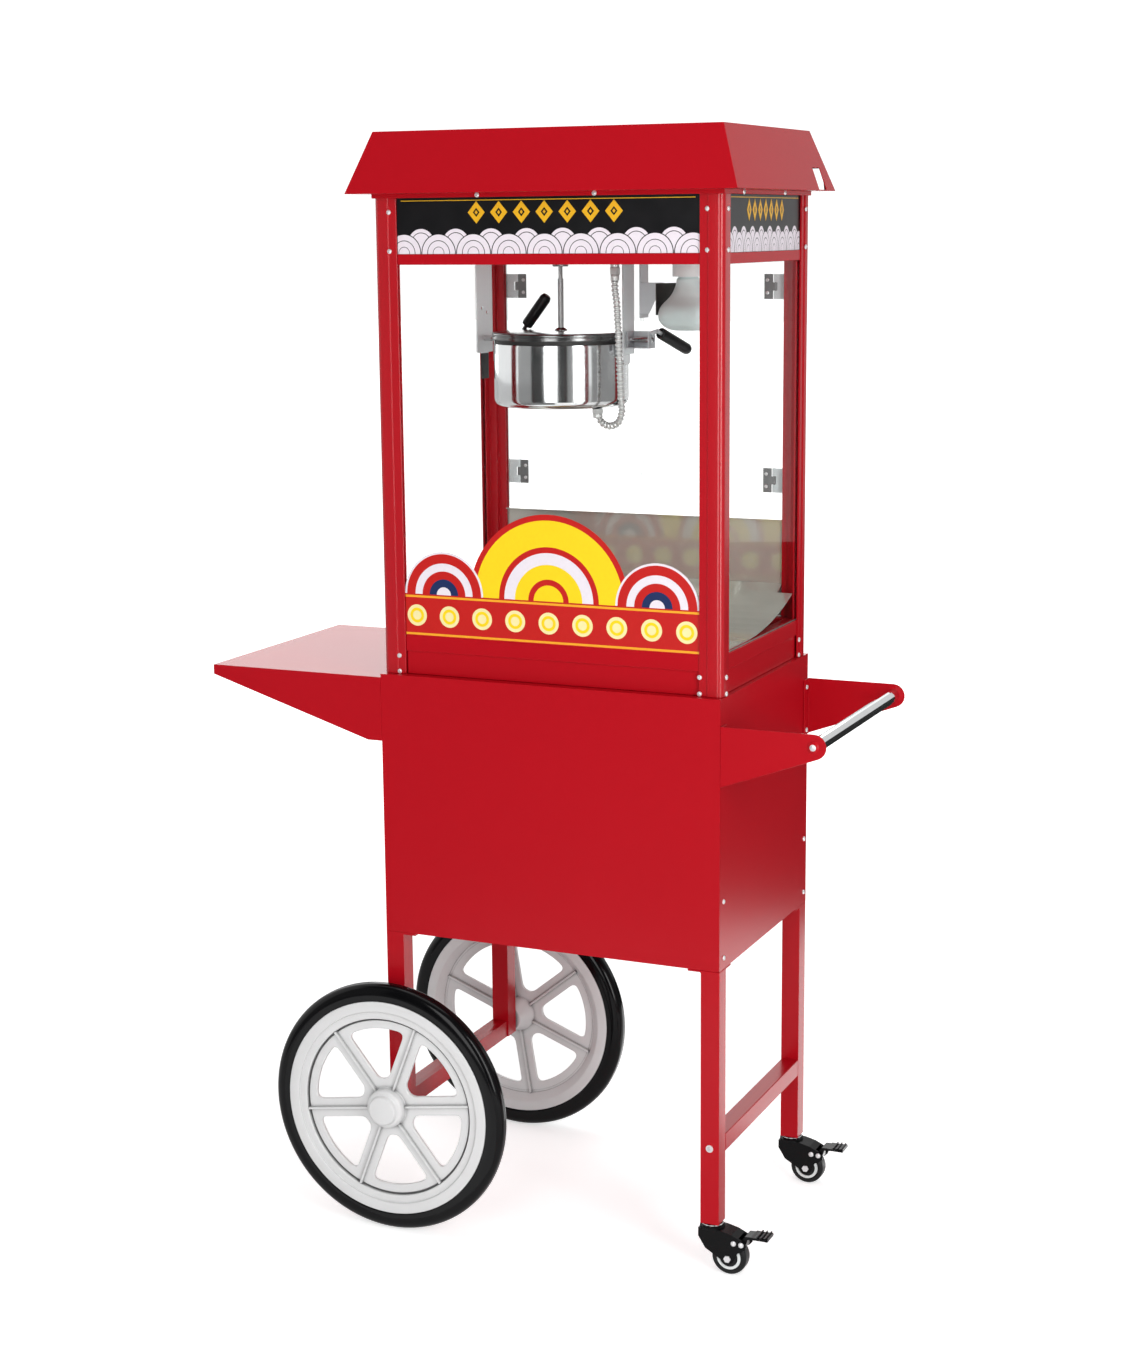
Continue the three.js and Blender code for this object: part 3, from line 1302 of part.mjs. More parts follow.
function addCart(group) {
  group.add(part('cart_box', cartBox(), redPaint));
  group.add(part('cart_door', cartDoor(), redPaint));
  group.add(part('wheel_end_frame', wheelEndFrame(), redPaint));
  group.add(part('leg_front_right', casterLeg(-1), redPaint));
  group.add(part('leg_rear_right', casterLeg(1), redPaint));
  group.add(part('stretcher', stretcher(), redPaint));
  group.add(part('shelf', shelf(), redPaint));
  group.add(part('handle_bracket_front', handleBracket(-1), redPaint));
  group.add(part('handle_bracket_rear', handleBracket(1), redPaint));
  group.add(part('handle_tube', handleTube(), chrome));
}

function addWheels(group) {
  const turned = THREE.MathUtils.degToRad(wheelsTurned);
  for (const [side, sy, turn] of [['front', -1, -turned], ['rear', 1, Math.PI / spokes - turned]]) {
    const wheel = new THREE.Group();
    wheel.add(part(`wheel_rim_${side}`, wheelRim(), rimGrey));
    wheel.add(part(`tyre_${side}`, tyre(), tyreRubber));
    wheel.position.set(axleX, sy * wheelTrack / 2, wheelRadius);
    wheel.rotation.set(0, turn, sy < 0 ? 0 : Math.PI);
    group.add(wheel);
    const caster = new THREE.Group();
    caster.add(part(`caster_fork_${side}`, casterFork(), blackSteel));
    caster.add(part(`caster_wheel_${side}`, casterWheel(), blackPlastic));
    caster.add(part(`brake_pedal_${side}`, brakePedal(), blackSteel));
    caster.position.set(legX, sy * legY, 0);
    group.add(caster);
  }
}

const machine = new THREE.Group();
addHead(machine);
addCabinet(machine);
addKettle(machine);
addCart(machine);
addWheels(machine);

// The origin is on the floor, under the middle of the outline.
const leftEnd = -cartHalfWidth - fit - shelfLength;
const rightEnd = handleX + handleEndRadius;
machine.position.x = -(leftEnd + rightEnd) / 2;

export default machine;
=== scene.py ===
"""A popcorn maker on its cart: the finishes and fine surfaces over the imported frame."""
import json
import math

import bmesh
import bpy
from mathutils import Matrix, Vector
from mathutils.bvhtree import BVHTree


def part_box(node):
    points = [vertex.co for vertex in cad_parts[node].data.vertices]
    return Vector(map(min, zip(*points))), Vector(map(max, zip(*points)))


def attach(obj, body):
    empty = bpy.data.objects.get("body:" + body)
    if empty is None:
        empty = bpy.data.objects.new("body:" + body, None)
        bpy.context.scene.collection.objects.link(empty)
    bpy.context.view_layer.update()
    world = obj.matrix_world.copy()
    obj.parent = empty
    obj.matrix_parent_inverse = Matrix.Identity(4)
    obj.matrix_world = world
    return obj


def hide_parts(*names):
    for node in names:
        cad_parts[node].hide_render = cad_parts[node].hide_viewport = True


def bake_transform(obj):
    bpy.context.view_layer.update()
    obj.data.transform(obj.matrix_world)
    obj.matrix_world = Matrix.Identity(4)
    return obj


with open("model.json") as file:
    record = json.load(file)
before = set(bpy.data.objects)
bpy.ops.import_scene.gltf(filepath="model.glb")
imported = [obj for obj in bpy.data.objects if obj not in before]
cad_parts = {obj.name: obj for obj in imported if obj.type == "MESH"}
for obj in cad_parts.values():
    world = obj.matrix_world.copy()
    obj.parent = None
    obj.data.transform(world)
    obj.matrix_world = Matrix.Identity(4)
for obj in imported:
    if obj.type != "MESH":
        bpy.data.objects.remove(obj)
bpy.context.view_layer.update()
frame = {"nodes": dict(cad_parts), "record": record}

MM = 0.001
FIT = 0.3 * MM                       # between pieces that seat on each other
WELD = 0.001 * MM                    # corners nearer than this are one corner
FLAT = math.radians(0.4)             # faces that meet at less than this are one face
CREASE = math.radians(32)            # sharper edges stay crisp

NODES = frame["nodes"]
RECORD = frame["record"]
BODY_OF = {node: body for body, nodes in RECORD["behaviour"]["bodies"].items() for node in nodes}
SLOT_OF = {row["node"]: row["material_slot"] for row in RECORD["subparts"]}


# ---------------------------------------------------------------- places read from the frame
def low(node):
    return Vector(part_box(node)[0])


def high(node):
    return Vector(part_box(node)[1])


def middle(node):
    return (low(node) + high(node)) / 2


# ---------------------------------------------------------------- camera
CAMERA_AIM = Vector((0.0181, 0.0, 0.7834))
CAMERA_DISTANCE = 3.339
CAMERA_AZIMUTH = math.radians(24.083)
CAMERA_ELEVATION = math.radians(10.920)
CAMERA_ROLL = math.radians(-0.533)
CAMERA_SENSOR = 36.0
CAMERA_LENS = 62.05


def make_camera():
    forward = Vector((
        -math.sin(CAMERA_AZIMUTH) * math.cos(CAMERA_ELEVATION),
        math.cos(CAMERA_AZIMUTH) * math.cos(CAMERA_ELEVATION),
        -math.sin(CAMERA_ELEVATION),
    ))
    level = Vector((math.cos(CAMERA_AZIMUTH), math.sin(CAMERA_AZIMUTH), 0.0))
    upright = level.cross(forward)
    right = level * math.cos(CAMERA_ROLL) + upright * math.sin(CAMERA_ROLL)
    up = upright * math.cos(CAMERA_ROLL) - level * math.sin(CAMERA_ROLL)
    data = bpy.data.cameras.new("camera")
    data.sensor_width = CAMERA_SENSOR
    data.lens = CAMERA_LENS
    camera = bpy.data.objects.new("camera", data)
    turn = Matrix((right, up, -forward)).transposed().to_4x4()
    camera.matrix_world = Matrix.Translation(CAMERA_AIM - forward * CAMERA_DISTANCE) @ turn
    bpy.context.collection.objects.link(camera)
    bpy.context.scene.camera = camera


make_camera()


# ---------------------------------------------------------------- shader writing
class Value:
    """One output socket of a node, with arithmetic that adds Math nodes."""

    def __init__(self, paint, socket):
        self.paint = paint
        self.socket = socket

    def _math(self, operation, first, second):
        return self.paint.node("ShaderNodeMath", {"operation": operation}, {0: first, 1: second})

    def __add__(self, other):
        return self._math("ADD", self, other)

    def __radd__(self, other):
        return self._math("ADD", other, self)

    def __mul__(self, other):
        return self._math("MULTIPLY", self, other)

    def __rmul__(self, other):
        return self._math("MULTIPLY", other, self)

    def __truediv__(self, other):
        return self._math("DIVIDE", self, other)

    def __pow__(self, other):
        return self._math("POWER", self, other)

    def largest(self, other):
        return self._math("MAXIMUM", self, other)

    def smoothly(self, start, end):
        """0 before start, 1 after end."""
        sockets = {"Value": self, "From Min": start, "From Max": end}
        return self.paint.node("ShaderNodeMapRange", {"interpolation_type": "SMOOTHSTEP"}, sockets)

    def beside(self, name):
        """Another output of the same node."""
        return Value(self.paint, self.socket.node.outputs[name])


class Paint:
    """The nodes of a material, or of the world, while they are put together."""

    def __init__(self, owner, output="ShaderNodeOutputMaterial"):
        owner.use_nodes = True
        self.owner = owner
        self.tree = owner.node_tree
        self.tree.nodes.clear()
        self.output = self.tree.nodes.new(output)

    def node(self, kind, settings=None, sockets=None, out=0):
        """Adds a node: its settings first, then the values or links of its sockets."""
        made = self.tree.nodes.new(kind)
        for key, value in (settings or {}).items():
            setattr(made, key, value)
        for key, value in (sockets or {}).items():
            if isinstance(value, Value):
                self.tree.links.new(value.socket, made.inputs[key])
            else:
                made.inputs[key].default_value = value
        return Value(self, made.outputs[out])

    def place(self):
        return self.node("ShaderNodeTexCoord", out="Object")

    def axes(self, vector):
        parts = self.node("ShaderNodeSeparateXYZ", sockets={0: vector})
        return [parts.beside(axis) for axis in "XYZ"]

    def noise(self, scale, detail=2.0, stretch=None):
        """Cloudy noise, finer along the axes with the larger stretch."""
        place = self.place()
        if stretch:
            place = self.node("ShaderNodeVectorMath", {"operation": "MULTIPLY"}, {0: place, 1: stretch})
        return self.node("ShaderNodeTexNoise", sockets={"Scale": scale, "Detail": detail, "Vector": place})

    def nooks(self, reach):
        """0 deep in a nook, 1 in the open; it masks painted shade."""
        return self.node("ShaderNodeAmbientOcclusion", {"samples": 8}, {"Distance": reach}, out="AO")

    def mix(self, factor, first, second):
        sockets = {0: factor, 6: self.colour(first), 7: self.colour(second)}
        return self.node("ShaderNodeMix", {"data_type": "RGBA"}, sockets, out=2)

    def mixed_shaders(self, factor, first, second):
        return self.node("ShaderNodeMixShader", sockets={0: factor, 1: first, 2: second})

    @staticmethod
    def colour(value):
        return value if isinstance(value, Value) else (*value, 1.0)

    def bump(self, height, strength, distance):
        sockets = {"Height": height, "Strength": strength, "Distance": distance}
        return self.node("ShaderNodeBump", sockets=sockets)

    def principled(self, **sockets):
        """The names are the shader's own sockets, with _ for spaces."""
        named = {key.replace("_", " "): value for key, value in sockets.items()}
        for key in ("Base Color", "Emission Color"):
            if key in named:
                named[key] = self.colour(named[key])
        return self.node("ShaderNodeBsdfPrincipled", sockets=named)

    def done(self, shader):
        self.tree.links.new(shader.socket, self.output.inputs["Surface"])
        return self.owner


def paint_called(name):
    return Paint(bpy.data.materials.new(name))


def linear(red, green, blue):
    """A screen colour, 0 to 255, as the light it stands for."""
    def one(value):
        share = value / 255
        return share / 12.92 if share <= 0.04045 else ((share + 0.055) / 1.055) ** 2.4
    return one(red), one(green), one(blue)


# ---------------------------------------------------------------- finishes
WHITE = (1.0, 1.0, 1.0, 1.0)
ENAMEL_RED = (0.450, 0.004, 0.011)
ENAMEL_DEEP = (0.428, 0.0035, 0.010)
PEEL_DEPTH = 0.3 * MM                # how deep the bumps of a sprayed or moulded skin are
GRAIN_DEPTH = 0.2 * MM


def toned(name, scale, tones, detail=2.0, stretch=None, skin=None, **sockets):
    """Two tones that drift into each other.

    A socket given as (base, change) drifts with them; skin is the scale and strength of fine bumps.
    """
    paint = paint_called(name)
    drift = paint.noise(scale, detail, stretch)
    for key, value in sockets.items():
        if isinstance(value, tuple):
            base, change = value
            sockets[key] = base + change * drift
    if skin:
        skin_scale, strength = skin
        sockets["Normal"] = paint.bump(paint.noise(skin_scale), strength, PEEL_DEPTH)
    return paint.done(paint.principled(Base_Color=paint.mix(drift, *tones), **sockets))


def red_enamel(name, gloss, roughness):
    paint = paint_called(name)
    cloudy = paint.noise(5.0)
    peel = paint.noise(900.0, 1.0)
    return paint.done(paint.principled(
        Base_Color=paint.mix(cloudy, ENAMEL_DEEP, ENAMEL_RED),
        Roughness=roughness + 0.03 * peel,
        Specular_IOR_Level=gloss,
        Normal=paint.bump(peel, 0.04, PEEL_DEPTH),
    ))


def sign_black():
    return toned("sign_black", 30.0, ((0.004, 0.004, 0.005), (0.008, 0.008, 0.009)),
                 Roughness=(0.25, 0.1), Specular_IOR_Level=0.25)


def polished_steel():
    paint = paint_called("polished_steel")
    grain = paint.noise(40.0, 2.0, (1.0, 1.0, 18.0))
    smear = paint.noise(14.0)
    return paint.done(paint.principled(
        Base_Color=paint.mix(smear, (0.66, 0.67, 0.68), (0.74, 0.74, 0.74)),
        Metallic=1.0,
        Roughness=0.07 + 0.06 * smear + 0.03 * grain,
    ))


def sheet_steel():
    paint = paint_called("sheet_steel")
    grain = paint.noise(60.0, 3.0, (1.0, 14.0, 14.0))
    smear = paint.noise(9.0)
    return paint.done(paint.principled(
        Base_Color=paint.mix(smear, (0.66, 0.665, 0.60), (0.74, 0.745, 0.69)),
        Metallic=0.5 + 0.1 * smear,
        Roughness=0.03 + 0.05 * grain + 0.02 * smear,
    ))


def zinc_plate():
    return toned("zinc_plate", 400.0, ((0.55, 0.57, 0.59), (0.66, 0.68, 0.70)),
                 Metallic=(0.35, 0.1), Roughness=(0.3, 0.12), Specular_IOR_Level=0.4)


def pale_zinc():
    return toned("pale_zinc", 400.0, ((0.78, 0.83, 0.84), (0.88, 0.93, 0.94)),
                 Metallic=(0.1, 0.1), Roughness=(0.3, 0.12))


def bright_zinc():
    return toned("bright_zinc", 500.0, ((0.70, 0.70, 0.71), (0.82, 0.82, 0.83)),
                 Metallic=(0.45, 0.1), Roughness=(0.25, 0.1))


def ribbed_zinc():
    """Painted shade between the ribs."""
    paint = paint_called("ribbed_zinc")
    tone = paint.noise(600.0)
    rib_tone = paint.mix(tone, (0.60, 0.61, 0.60), (0.72, 0.73, 0.72))
    return paint.done(paint.principled(
        Base_Color=paint.mix(paint.nooks(3 * MM).smoothly(0.4, 0.9), (0.05, 0.05, 0.05), rib_tone),
        Metallic=0.4 + 0.1 * tone,
        Roughness=0.28 + 0.1 * tone,
    ))


def drawn_rod():
    return toned("drawn_rod", 900.0, ((0.20, 0.20, 0.20), (0.30, 0.30, 0.30)), stretch=(1.0, 1.0, 0.05),
                 Metallic=(0.4, 0.2), Roughness=(0.3, 0.1))


def used_steel():
    return toned("used_steel", 25.0, ((0.13, 0.13, 0.13), (0.20, 0.20, 0.20)), detail=3.0,
                 Metallic=(0.9, 0.1), Roughness=(0.16, 0.08))


# Painted shade: a near-black grey for the lamp holder's shaded rear face and the sheet behind the lamp.
def shield_painted_shade():
    return toned("shield_painted_shade", 50.0, ((0.055, 0.056, 0.053), (0.085, 0.086, 0.080)),
                 Metallic=(0.3, 0.1), Roughness=(0.4, 0.1))


def chrome_plate():
    return toned("chrome_plate", 50.0, ((0.70, 0.71, 0.72), (0.78, 0.79, 0.80)),
                 Metallic=1.0, Roughness=(0.04, 0.05))


def clear_pane(name, sheen):
    """Clear, and more of a mirror the more it is seen edge on."""
    paint = paint_called(name)
    slant = paint.node("ShaderNodeLayerWeight", sockets={"Blend": 0.5}, out="Facing")
    through = paint.node("ShaderNodeBsdfTransparent", sockets={"Color": (0.995, 0.998, 0.997, 1.0)})
    gloss = paint.node("ShaderNodeBsdfGlossy", sockets={"Color": WHITE, "Roughness": 0.02})
    return paint.done(paint.mixed_shaders(0.02 + sheen * slant ** 5.0, through, gloss))


def pane_edge():
    paint = paint_called("pane_edge")
    chips = paint.noise(300.0)
    through = paint.node("ShaderNodeBsdfTransparent", sockets={"Color": (0.93, 0.96, 0.95, 1.0)})
    milky = paint.node("ShaderNodeBsdfDiffuse", sockets={"Color": (0.45, 0.52, 0.50, 1.0)})
    return paint.done(paint.mixed_shaders(0.35 + 0.2 * chips, through, milky))


def black_moulding():
    paint = paint_called("black_moulding")
    grain = paint.noise(1400.0)
    worn = paint.noise(40.0)
    return paint.done(paint.principled(
        Base_Color=paint.mix(worn, (0.003, 0.003, 0.0035), (0.008, 0.008, 0.0085)),
        Roughness=0.3 + 0.12 * grain,
        Specular_IOR_Level=0.25,
        Normal=paint.bump(grain, 0.15, GRAIN_DEPTH),
    ))


def black_paint():
    return toned("black_paint", 700.0, ((0.0025, 0.0025, 0.003), (0.006, 0.006, 0.0065)),
                 skin=(700.0, 0.1), Roughness=(0.18, 0.1), Specular_IOR_Level=0.12)


def tyre_rubber():
    return toned("tyre_rubber", 60.0, ((0.002, 0.002, 0.0025), (0.0045, 0.0045, 0.005)), detail=3.0,
                 skin=(900.0, 0.08), Roughness=(0.09, 0.06), Specular_IOR_Level=0.16)


def rim_grey():
    """Moulded grey, with painted shade in its nooks."""
    paint = paint_called("rim_grey")
    flow = paint.noise(12.0, 3.0)
    grain = paint.noise(1200.0)
    open_tone = paint.mix(flow, (0.66, 0.662, 0.664), (0.74, 0.742, 0.744))
    return paint.done(paint.principled(
        # Painted shade: the grey turns near black deep in the nooks, round the fins and in the steps.
        Base_Color=paint.mix(paint.nooks(9 * MM).smoothly(0.35, 0.95), (0.17, 0.17, 0.172), open_tone),
        Roughness=0.32 + 0.08 * flow,
        Normal=paint.bump(grain, 0.08, GRAIN_DEPTH),
    ))


def frosted_glass():
    return toned("frosted_glass", 300.0, ((0.58, 0.67, 0.66), (0.64, 0.73, 0.72)), Roughness=(0.3, 0.15))


# Near black: painted shadow on the kettle's neck under the lid, and the dark tab under the left hanger.
def near_black():
    return toned("near_black", 120.0, ((0.01, 0.01, 0.01), (0.03, 0.028, 0.026)), detail=3.0,
                 Roughness=(0.5, 0.2))


def pale_plastic():
    return toned("pale_plastic", 80.0, ((0.74, 0.77, 0.765), (0.80, 0.83, 0.825)), Roughness=(0.35, 0.1))


FINISHES = {
    "red_paint": red_enamel("red_enamel", 0.13, 0.25),
    "sign_black": sign_black(),
    "polished_steel": polished_steel(),
    "black_plastic": black_moulding(),
    "black_steel": black_paint(),
    "clear_pane": clear_pane("clear_pane", 0.9),
    "frosted_glass": frosted_glass(),
    "rim_plastic": rim_grey(),
    "tyre_rubber": tyre_rubber(),
    "chrome_plate": chrome_plate(),
}
POST_ENAMEL = red_enamel("post_enamel", 0.5, 0.2)
SIDE_PANE = clear_pane("side_pane", 0.1)
SHEET_STEEL = sheet_steel()
PANE_EDGE = pane_edge()
ZINC = zinc_plate()
NEAR_BLACK = near_black()
PALE_PLASTIC = pale_plastic()
DRAWN_ROD = drawn_rod()
BRIGHT_ZINC = bright_zinc()
PALE_ZINC = pale_zinc()
RIBBED_ZINC = ribbed_zinc()
USED_STEEL = used_steel()
SHIELD_PAINTED_SHADE = shield_painted_shade()


# ---------------------------------------------------------------- shapes
def mm(*points):
    """Points given in millimetres."""
    return [tuple(value * MM for value in point) for point in points]


def placed(point, direction=(0, 0, 1), spin=0.0):
    """A frame at the point whose Z axis runs along the direction."""
    turn = Vector(direction).to_track_quat("Z", "Y").to_matrix().to_4x4()
    return Matrix.Translation(Vector(point)) @ turn @ Matrix.Rotation(spin, 4, "Z")


def stood_up(x, side=1):
    """A frame at x whose own X runs along the object's Y, its Y up, and its Z to the side."""
    return Matrix(((0, 0, side, x), (1, 0, 0, 0), (0, 1, 0, 0), (0, 0, 0, 1)))


def everything_in(work):
    return [*work.verts, *work.edges, *work.faces]


def mesh_from(name, work):
    bmesh.ops.recalc_face_normals(work, faces=work.faces)
    mesh = bpy.data.meshes.new(name)
    work.to_mesh(mesh)
    work.free()
    return mesh


def eased_corner(before, corner, after, radius, steps):
    """Points round the corner, from the side before it to the side after it."""
    reach = min(radius, (before - corner).length / 2, (after - corner).length / 2)
    enter = corner + (before - corner).normalized() * reach
    leave = corner + (after - corner).normalized() * reach
    shares = [i / steps for i in range(steps + 1)]
    return [enter.lerp(corner, share).lerp(corner.lerp(leave, share), share) for share in shares]


def softened(profile, radius, steps=4):
    """The profile with its inner corners rounded."""
    points = [Vector(point) for point in profile]
    soft = [points[0]]
    for before, corner, after in zip(points, points[1:], points[2:]):
        soft += eased_corner(before, corner, after, radius, steps)
    return [*soft, points[-1]]


def rounded_outline(corners, radius, steps=5):
    """A closed outline with every corner rounded."""
    points = [Vector(corner) for corner in corners]
    outline = []
    for before, corner, after in zip([points[-1], *points], points, [*points[1:], points[0]]):
        outline += [tuple(point) for point in eased_corner(before, corner, after, radius, steps)]
    return outline


def turned(work, profile, sides=96, place=Matrix.Identity(4), ink=0, closed=False):
    """Turns (radius, height) points about the frame's Z axis."""
    rings = []
    for radius, height in profile:
        count = sides if radius > 0 else 1
        angles = [2 * math.pi * i / count for i in range(count)]
        rings.append([work.verts.new(place @ Vector((radius * math.cos(a), radius * math.sin(a), height)))
                      for a in angles])
    if closed:
        rings.append(rings[0])
    for first, second in zip(rings, rings[1:]):
        for i in range(sides):
            corners = [first[i % len(first)], first[(i + 1) % len(first)],
                       second[(i + 1) % len(second)], second[i % len(second)]]
            corners = list(dict.fromkeys(corners))
            if len(corners) > 2:
                work.faces.new(corners).material_index = ink


def tube(work, path, radii, sides=24):
    """A round tube through the points of the path."""
    side = (path[1] - path[0]).orthogonal().normalized()
    rings = []
    for i, (point, radius) in enumerate(zip(path, radii)):
        along = (path[min(i + 1, len(path) - 1)] - path[max(i - 1, 0)]).normalized()
        side = (side - along * side.dot(along)).normalized()
        across = along.cross(side)
        rings.append([
            work.verts.new(point + (side * math.cos(a) + across * math.sin(a)) * radius)
            for a in (2 * math.pi * k / sides for k in range(sides))])
    for first, second in zip(rings, rings[1:]):
        for k in range(sides):
            after = (k + 1) % sides
            work.faces.new([first[k], first[after], second[after], second[k]])
    work.faces.new(rings[0])
    work.faces.new(rings[-1])


def evaluated_mesh(thing):
    """The thing's finished mesh; the thing itself is removed."""
    bpy.context.collection.objects.link(thing)
    graph = bpy.context.evaluated_depsgraph_get()
    mesh = bpy.data.meshes.new_from_object(thing.evaluated_get(graph))
    bpy.data.objects.remove(thing)
    return mesh


def plate(outlines, thickness, edge=0.0):
    """A flat plate on Z = 0, with every outline inside another as a window and its edges rounded."""
    curve = bpy.data.curves.new("plate", "CURVE")
    curve.dimensions = "2D"
    curve.fill_mode = "BOTH"
    curve.extrude = thickness / 2 - edge
    curve.bevel_depth = edge
    curve.bevel_resolution = 2
    curve.offset = -edge
    for outline in outlines:
        spline = curve.splines.new("POLY")
        spline.points.add(len(outline) - 1)
        for point, (x, y) in zip(spline.points, outline):
            point.co = (x, y, 0.0, 1.0)
        spline.use_cyclic_u = True
    mesh = evaluated_mesh(bpy.data.objects.new("plate", curve))
    mesh.transform(Matrix.Translation((0, 0, thickness / 2)))
    return mesh


def put(work, mesh, place=Matrix.Identity(4), ink=0):
    """Adds a copy of the mesh, moved to the place."""
    start = len(work.faces)
    copied = mesh.copy()
    copied.transform(place)
    work.from_mesh(copied)
    bpy.data.meshes.remove(copied)
    work.faces.ensure_lookup_table()
    for face in work.faces[start:]:
        face.material_index = ink


def cut_out(body, tool):
    """The body's mesh without the room the tool's mesh takes."""
    solid, cutter = (bpy.data.objects.new(mesh.name, mesh) for mesh in (body, tool))
    bpy.context.collection.objects.link(cutter)
    carve = solid.modifiers.new("cut", "BOOLEAN")
    carve.operation = "DIFFERENCE"
    carve.solver = "EXACT"
    carve.object = cutter
    mesh = evaluated_mesh(solid)
    bpy.data.objects.remove(cutter)
    return mesh


def circle(radius, sides=48, centre=(0.0, 0.0)):
    angles = [2 * math.pi * i / sides for i in range(sides)]
    return [(centre[0] + radius * math.cos(angle), centre[1] + radius * math.sin(angle)) for angle in angles]


def smooth_path(route, spacing, fineness=40):
    """Points along a soft curve through the route, about that far apart."""
    points = [Vector(point) for point in route]
    ends = [2 * points[0] - points[1], *points, 2 * points[-1] - points[-2]]
    fine = []
    for a, b, c, d in zip(ends, ends[1:], ends[2:], ends[3:]):
        for i in range(fineness):
            t = i / fineness
            fine.append(0.5 * (2 * b + (c - a) * t + (2 * a - 5 * b + 4 * c - d) * t * t
                               + (3 * b - a - 3 * c + d) * t ** 3))
    fine.append(points[-1])
    path, left = [fine[0]], spacing
    for before, after in zip(fine, fine[1:]):
        step = (after - before).length
        while step >= left:
            before = before.lerp(after, left / step)
            path.append(before)
            step = (after - before).length
            left = spacing
        left -= step
    return path


# ---------------------------------------------------------------- making pieces
def new_piece(name, mesh, materials, replaced=()):
    """A piece with the given finishes, which may replace CAD nodes."""
    piece = bpy.data.objects.new(name, mesh)
    bpy.context.collection.objects.link(piece)
    for material in materials:
        mesh.materials.append(material)
    if replaced:
        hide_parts(*replaced)
    return piece


def add_piece(name, mesh, node, materials, replaced=()):
    """A new piece that rides with the CAD node's body."""
    piece = new_piece(name, mesh, materials, replaced)
    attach(piece, BODY_OF[node])
    return piece


def shade(mesh, crease=CREASE):
    """Smooth faces that stay crisp at their real edges."""
    work = bmesh.new()
    work.from_mesh(mesh)
    for face in work.faces:
        face.smooth = True
    for edge in work.edges:
        edge.smooth = len(edge.link_faces) == 2 and edge.calc_face_angle(0.0) < crease
    work.to_mesh(mesh)
    work.free()


def finished(name, work, node, materials, replaced=(), crease=CREASE, place=Matrix.Identity(4)):
    """Closes the mesh being worked on, moves it to its place, shades it and adds it as a piece."""
    mesh = mesh_from(name, work)
    mesh.transform(place)
    shade(mesh, crease)
    add_piece(name, mesh, node, materials, replaced)


def refined(node, edge, finishes=None, choose=None, cut_height=None):
    """The node's own shape with its edges eased; choose picks each face's finish, cut_height splits faces."""
    work = bmesh.new()
    work.from_mesh(NODES[node].data)
    work.transform(NODES[node].matrix_world)
    bmesh.ops.remove_doubles(work, verts=work.verts, dist=WELD)
    bmesh.ops.dissolve_limit(work, angle_limit=FLAT, verts=work.verts, edges=work.edges)
    if cut_height:
        level = Vector((0, 0, cut_height))
        bmesh.ops.bisect_plane(work, geom=everything_in(work), plane_co=level, plane_no=(0, 0, 1))
    if choose:
        for face in work.faces:
            face.material_index = choose(face)
    mesh = bpy.data.meshes.new(f"{node}_surface")
    work.to_mesh(mesh)
    work.free()
    shade(mesh)
    piece = add_piece(f"{node}_surface", mesh, node, finishes or [FINISHES[SLOT_OF[node]]], [node])
    bevel = piece.modifiers.new("eased_edges", "BEVEL")
    bevel.width = edge
    bevel.segments = 2
    bevel.limit_method = "ANGLE"
    bevel.angle_limit = CREASE
    bevel.miter_outer = "MITER_ARC"
    piece.modifiers.new("flat_faces", "WEIGHTED_NORMAL")


# ---------------------------------------------------------------- eased edges and other finishes
CABINET = middle("roof")
LAMP = middle("lamp_bulb")
PIVOT = Vector((middle("agitator").x, 0.0, low("lid_half").z - FIT))
POST_INSIDE = 217 * MM               # the hinge leaves lie inside this, the posts outside
HANGER_TAB = PIVOT.z - 21 * MM       # the top of the dark tab under the left hanger
PANE_EDGE_AREA = 0.004               # a pane's edges are smaller faces than this, in square metres
SOCKET_REACH = 21 * MM
HOLDER_SHEET = 1.3 * MM
HOLDER_RIM = 2 * MM
SHIELD_TOP = 3 * MM


def post_finish(face):
    """1 for the hinge leaf fixed to the post."""
    return int(abs(face.calc_center_median().x - CABINET.x) < POST_INSIDE)


def hanger_finish(face):
    """1 for the dark tab under the hanger."""
    return int(face.calc_center_median().z < HANGER_TAB)


def pane_finish(face):
    """1 for the narrow edges of a pane."""
    return int(face.calc_area() < PANE_EDGE_AREA)


def lamp_holder_finish(face):
    """0 for the galvanised strip, 1 for the shield, dark with painted shade, 2 for the white socket."""
    centre = face.calc_center_median()
    near, drop = low("lamp_holder"), high("lamp_holder").z - centre.z
    if math.hypot(centre.x - LAMP.x, centre.y - LAMP.y) < SOCKET_REACH and drop > HOLDER_SHEET:
        return 2
    return int(centre.y < near.y + HOLDER_RIM and centre.x > near.x + HOLDER_RIM and drop > SHIELD_TOP)


# How far each node's edges are eased, in millimetres.
REFINED = {
    "roof": 2.0, "ceiling_pan": 0.6, "base_frame": 0.8, "cart_box": 1.2, "cart_door": 1.0, "shelf": 0.5,
    "wheel_end_frame": 1.2, "leg_front_right": 1.2, "leg_rear_right": 1.2, "stretcher": 1.2,
    "handle_bracket_front": 0.5, "handle_bracket_rear": 0.5, "hanger_left": 0.3,
    "door_left": 0.2, "door_right": 0.2, "glass_left": 0.2, "glass_right": 0.2, "glass_front": 0.2,
    "post_front_left": 0.6, "post_front_right": 0.6, "post_rear_left": 0.4, "post_rear_right": 0.4,
    "lamp_holder": 0.3,
}
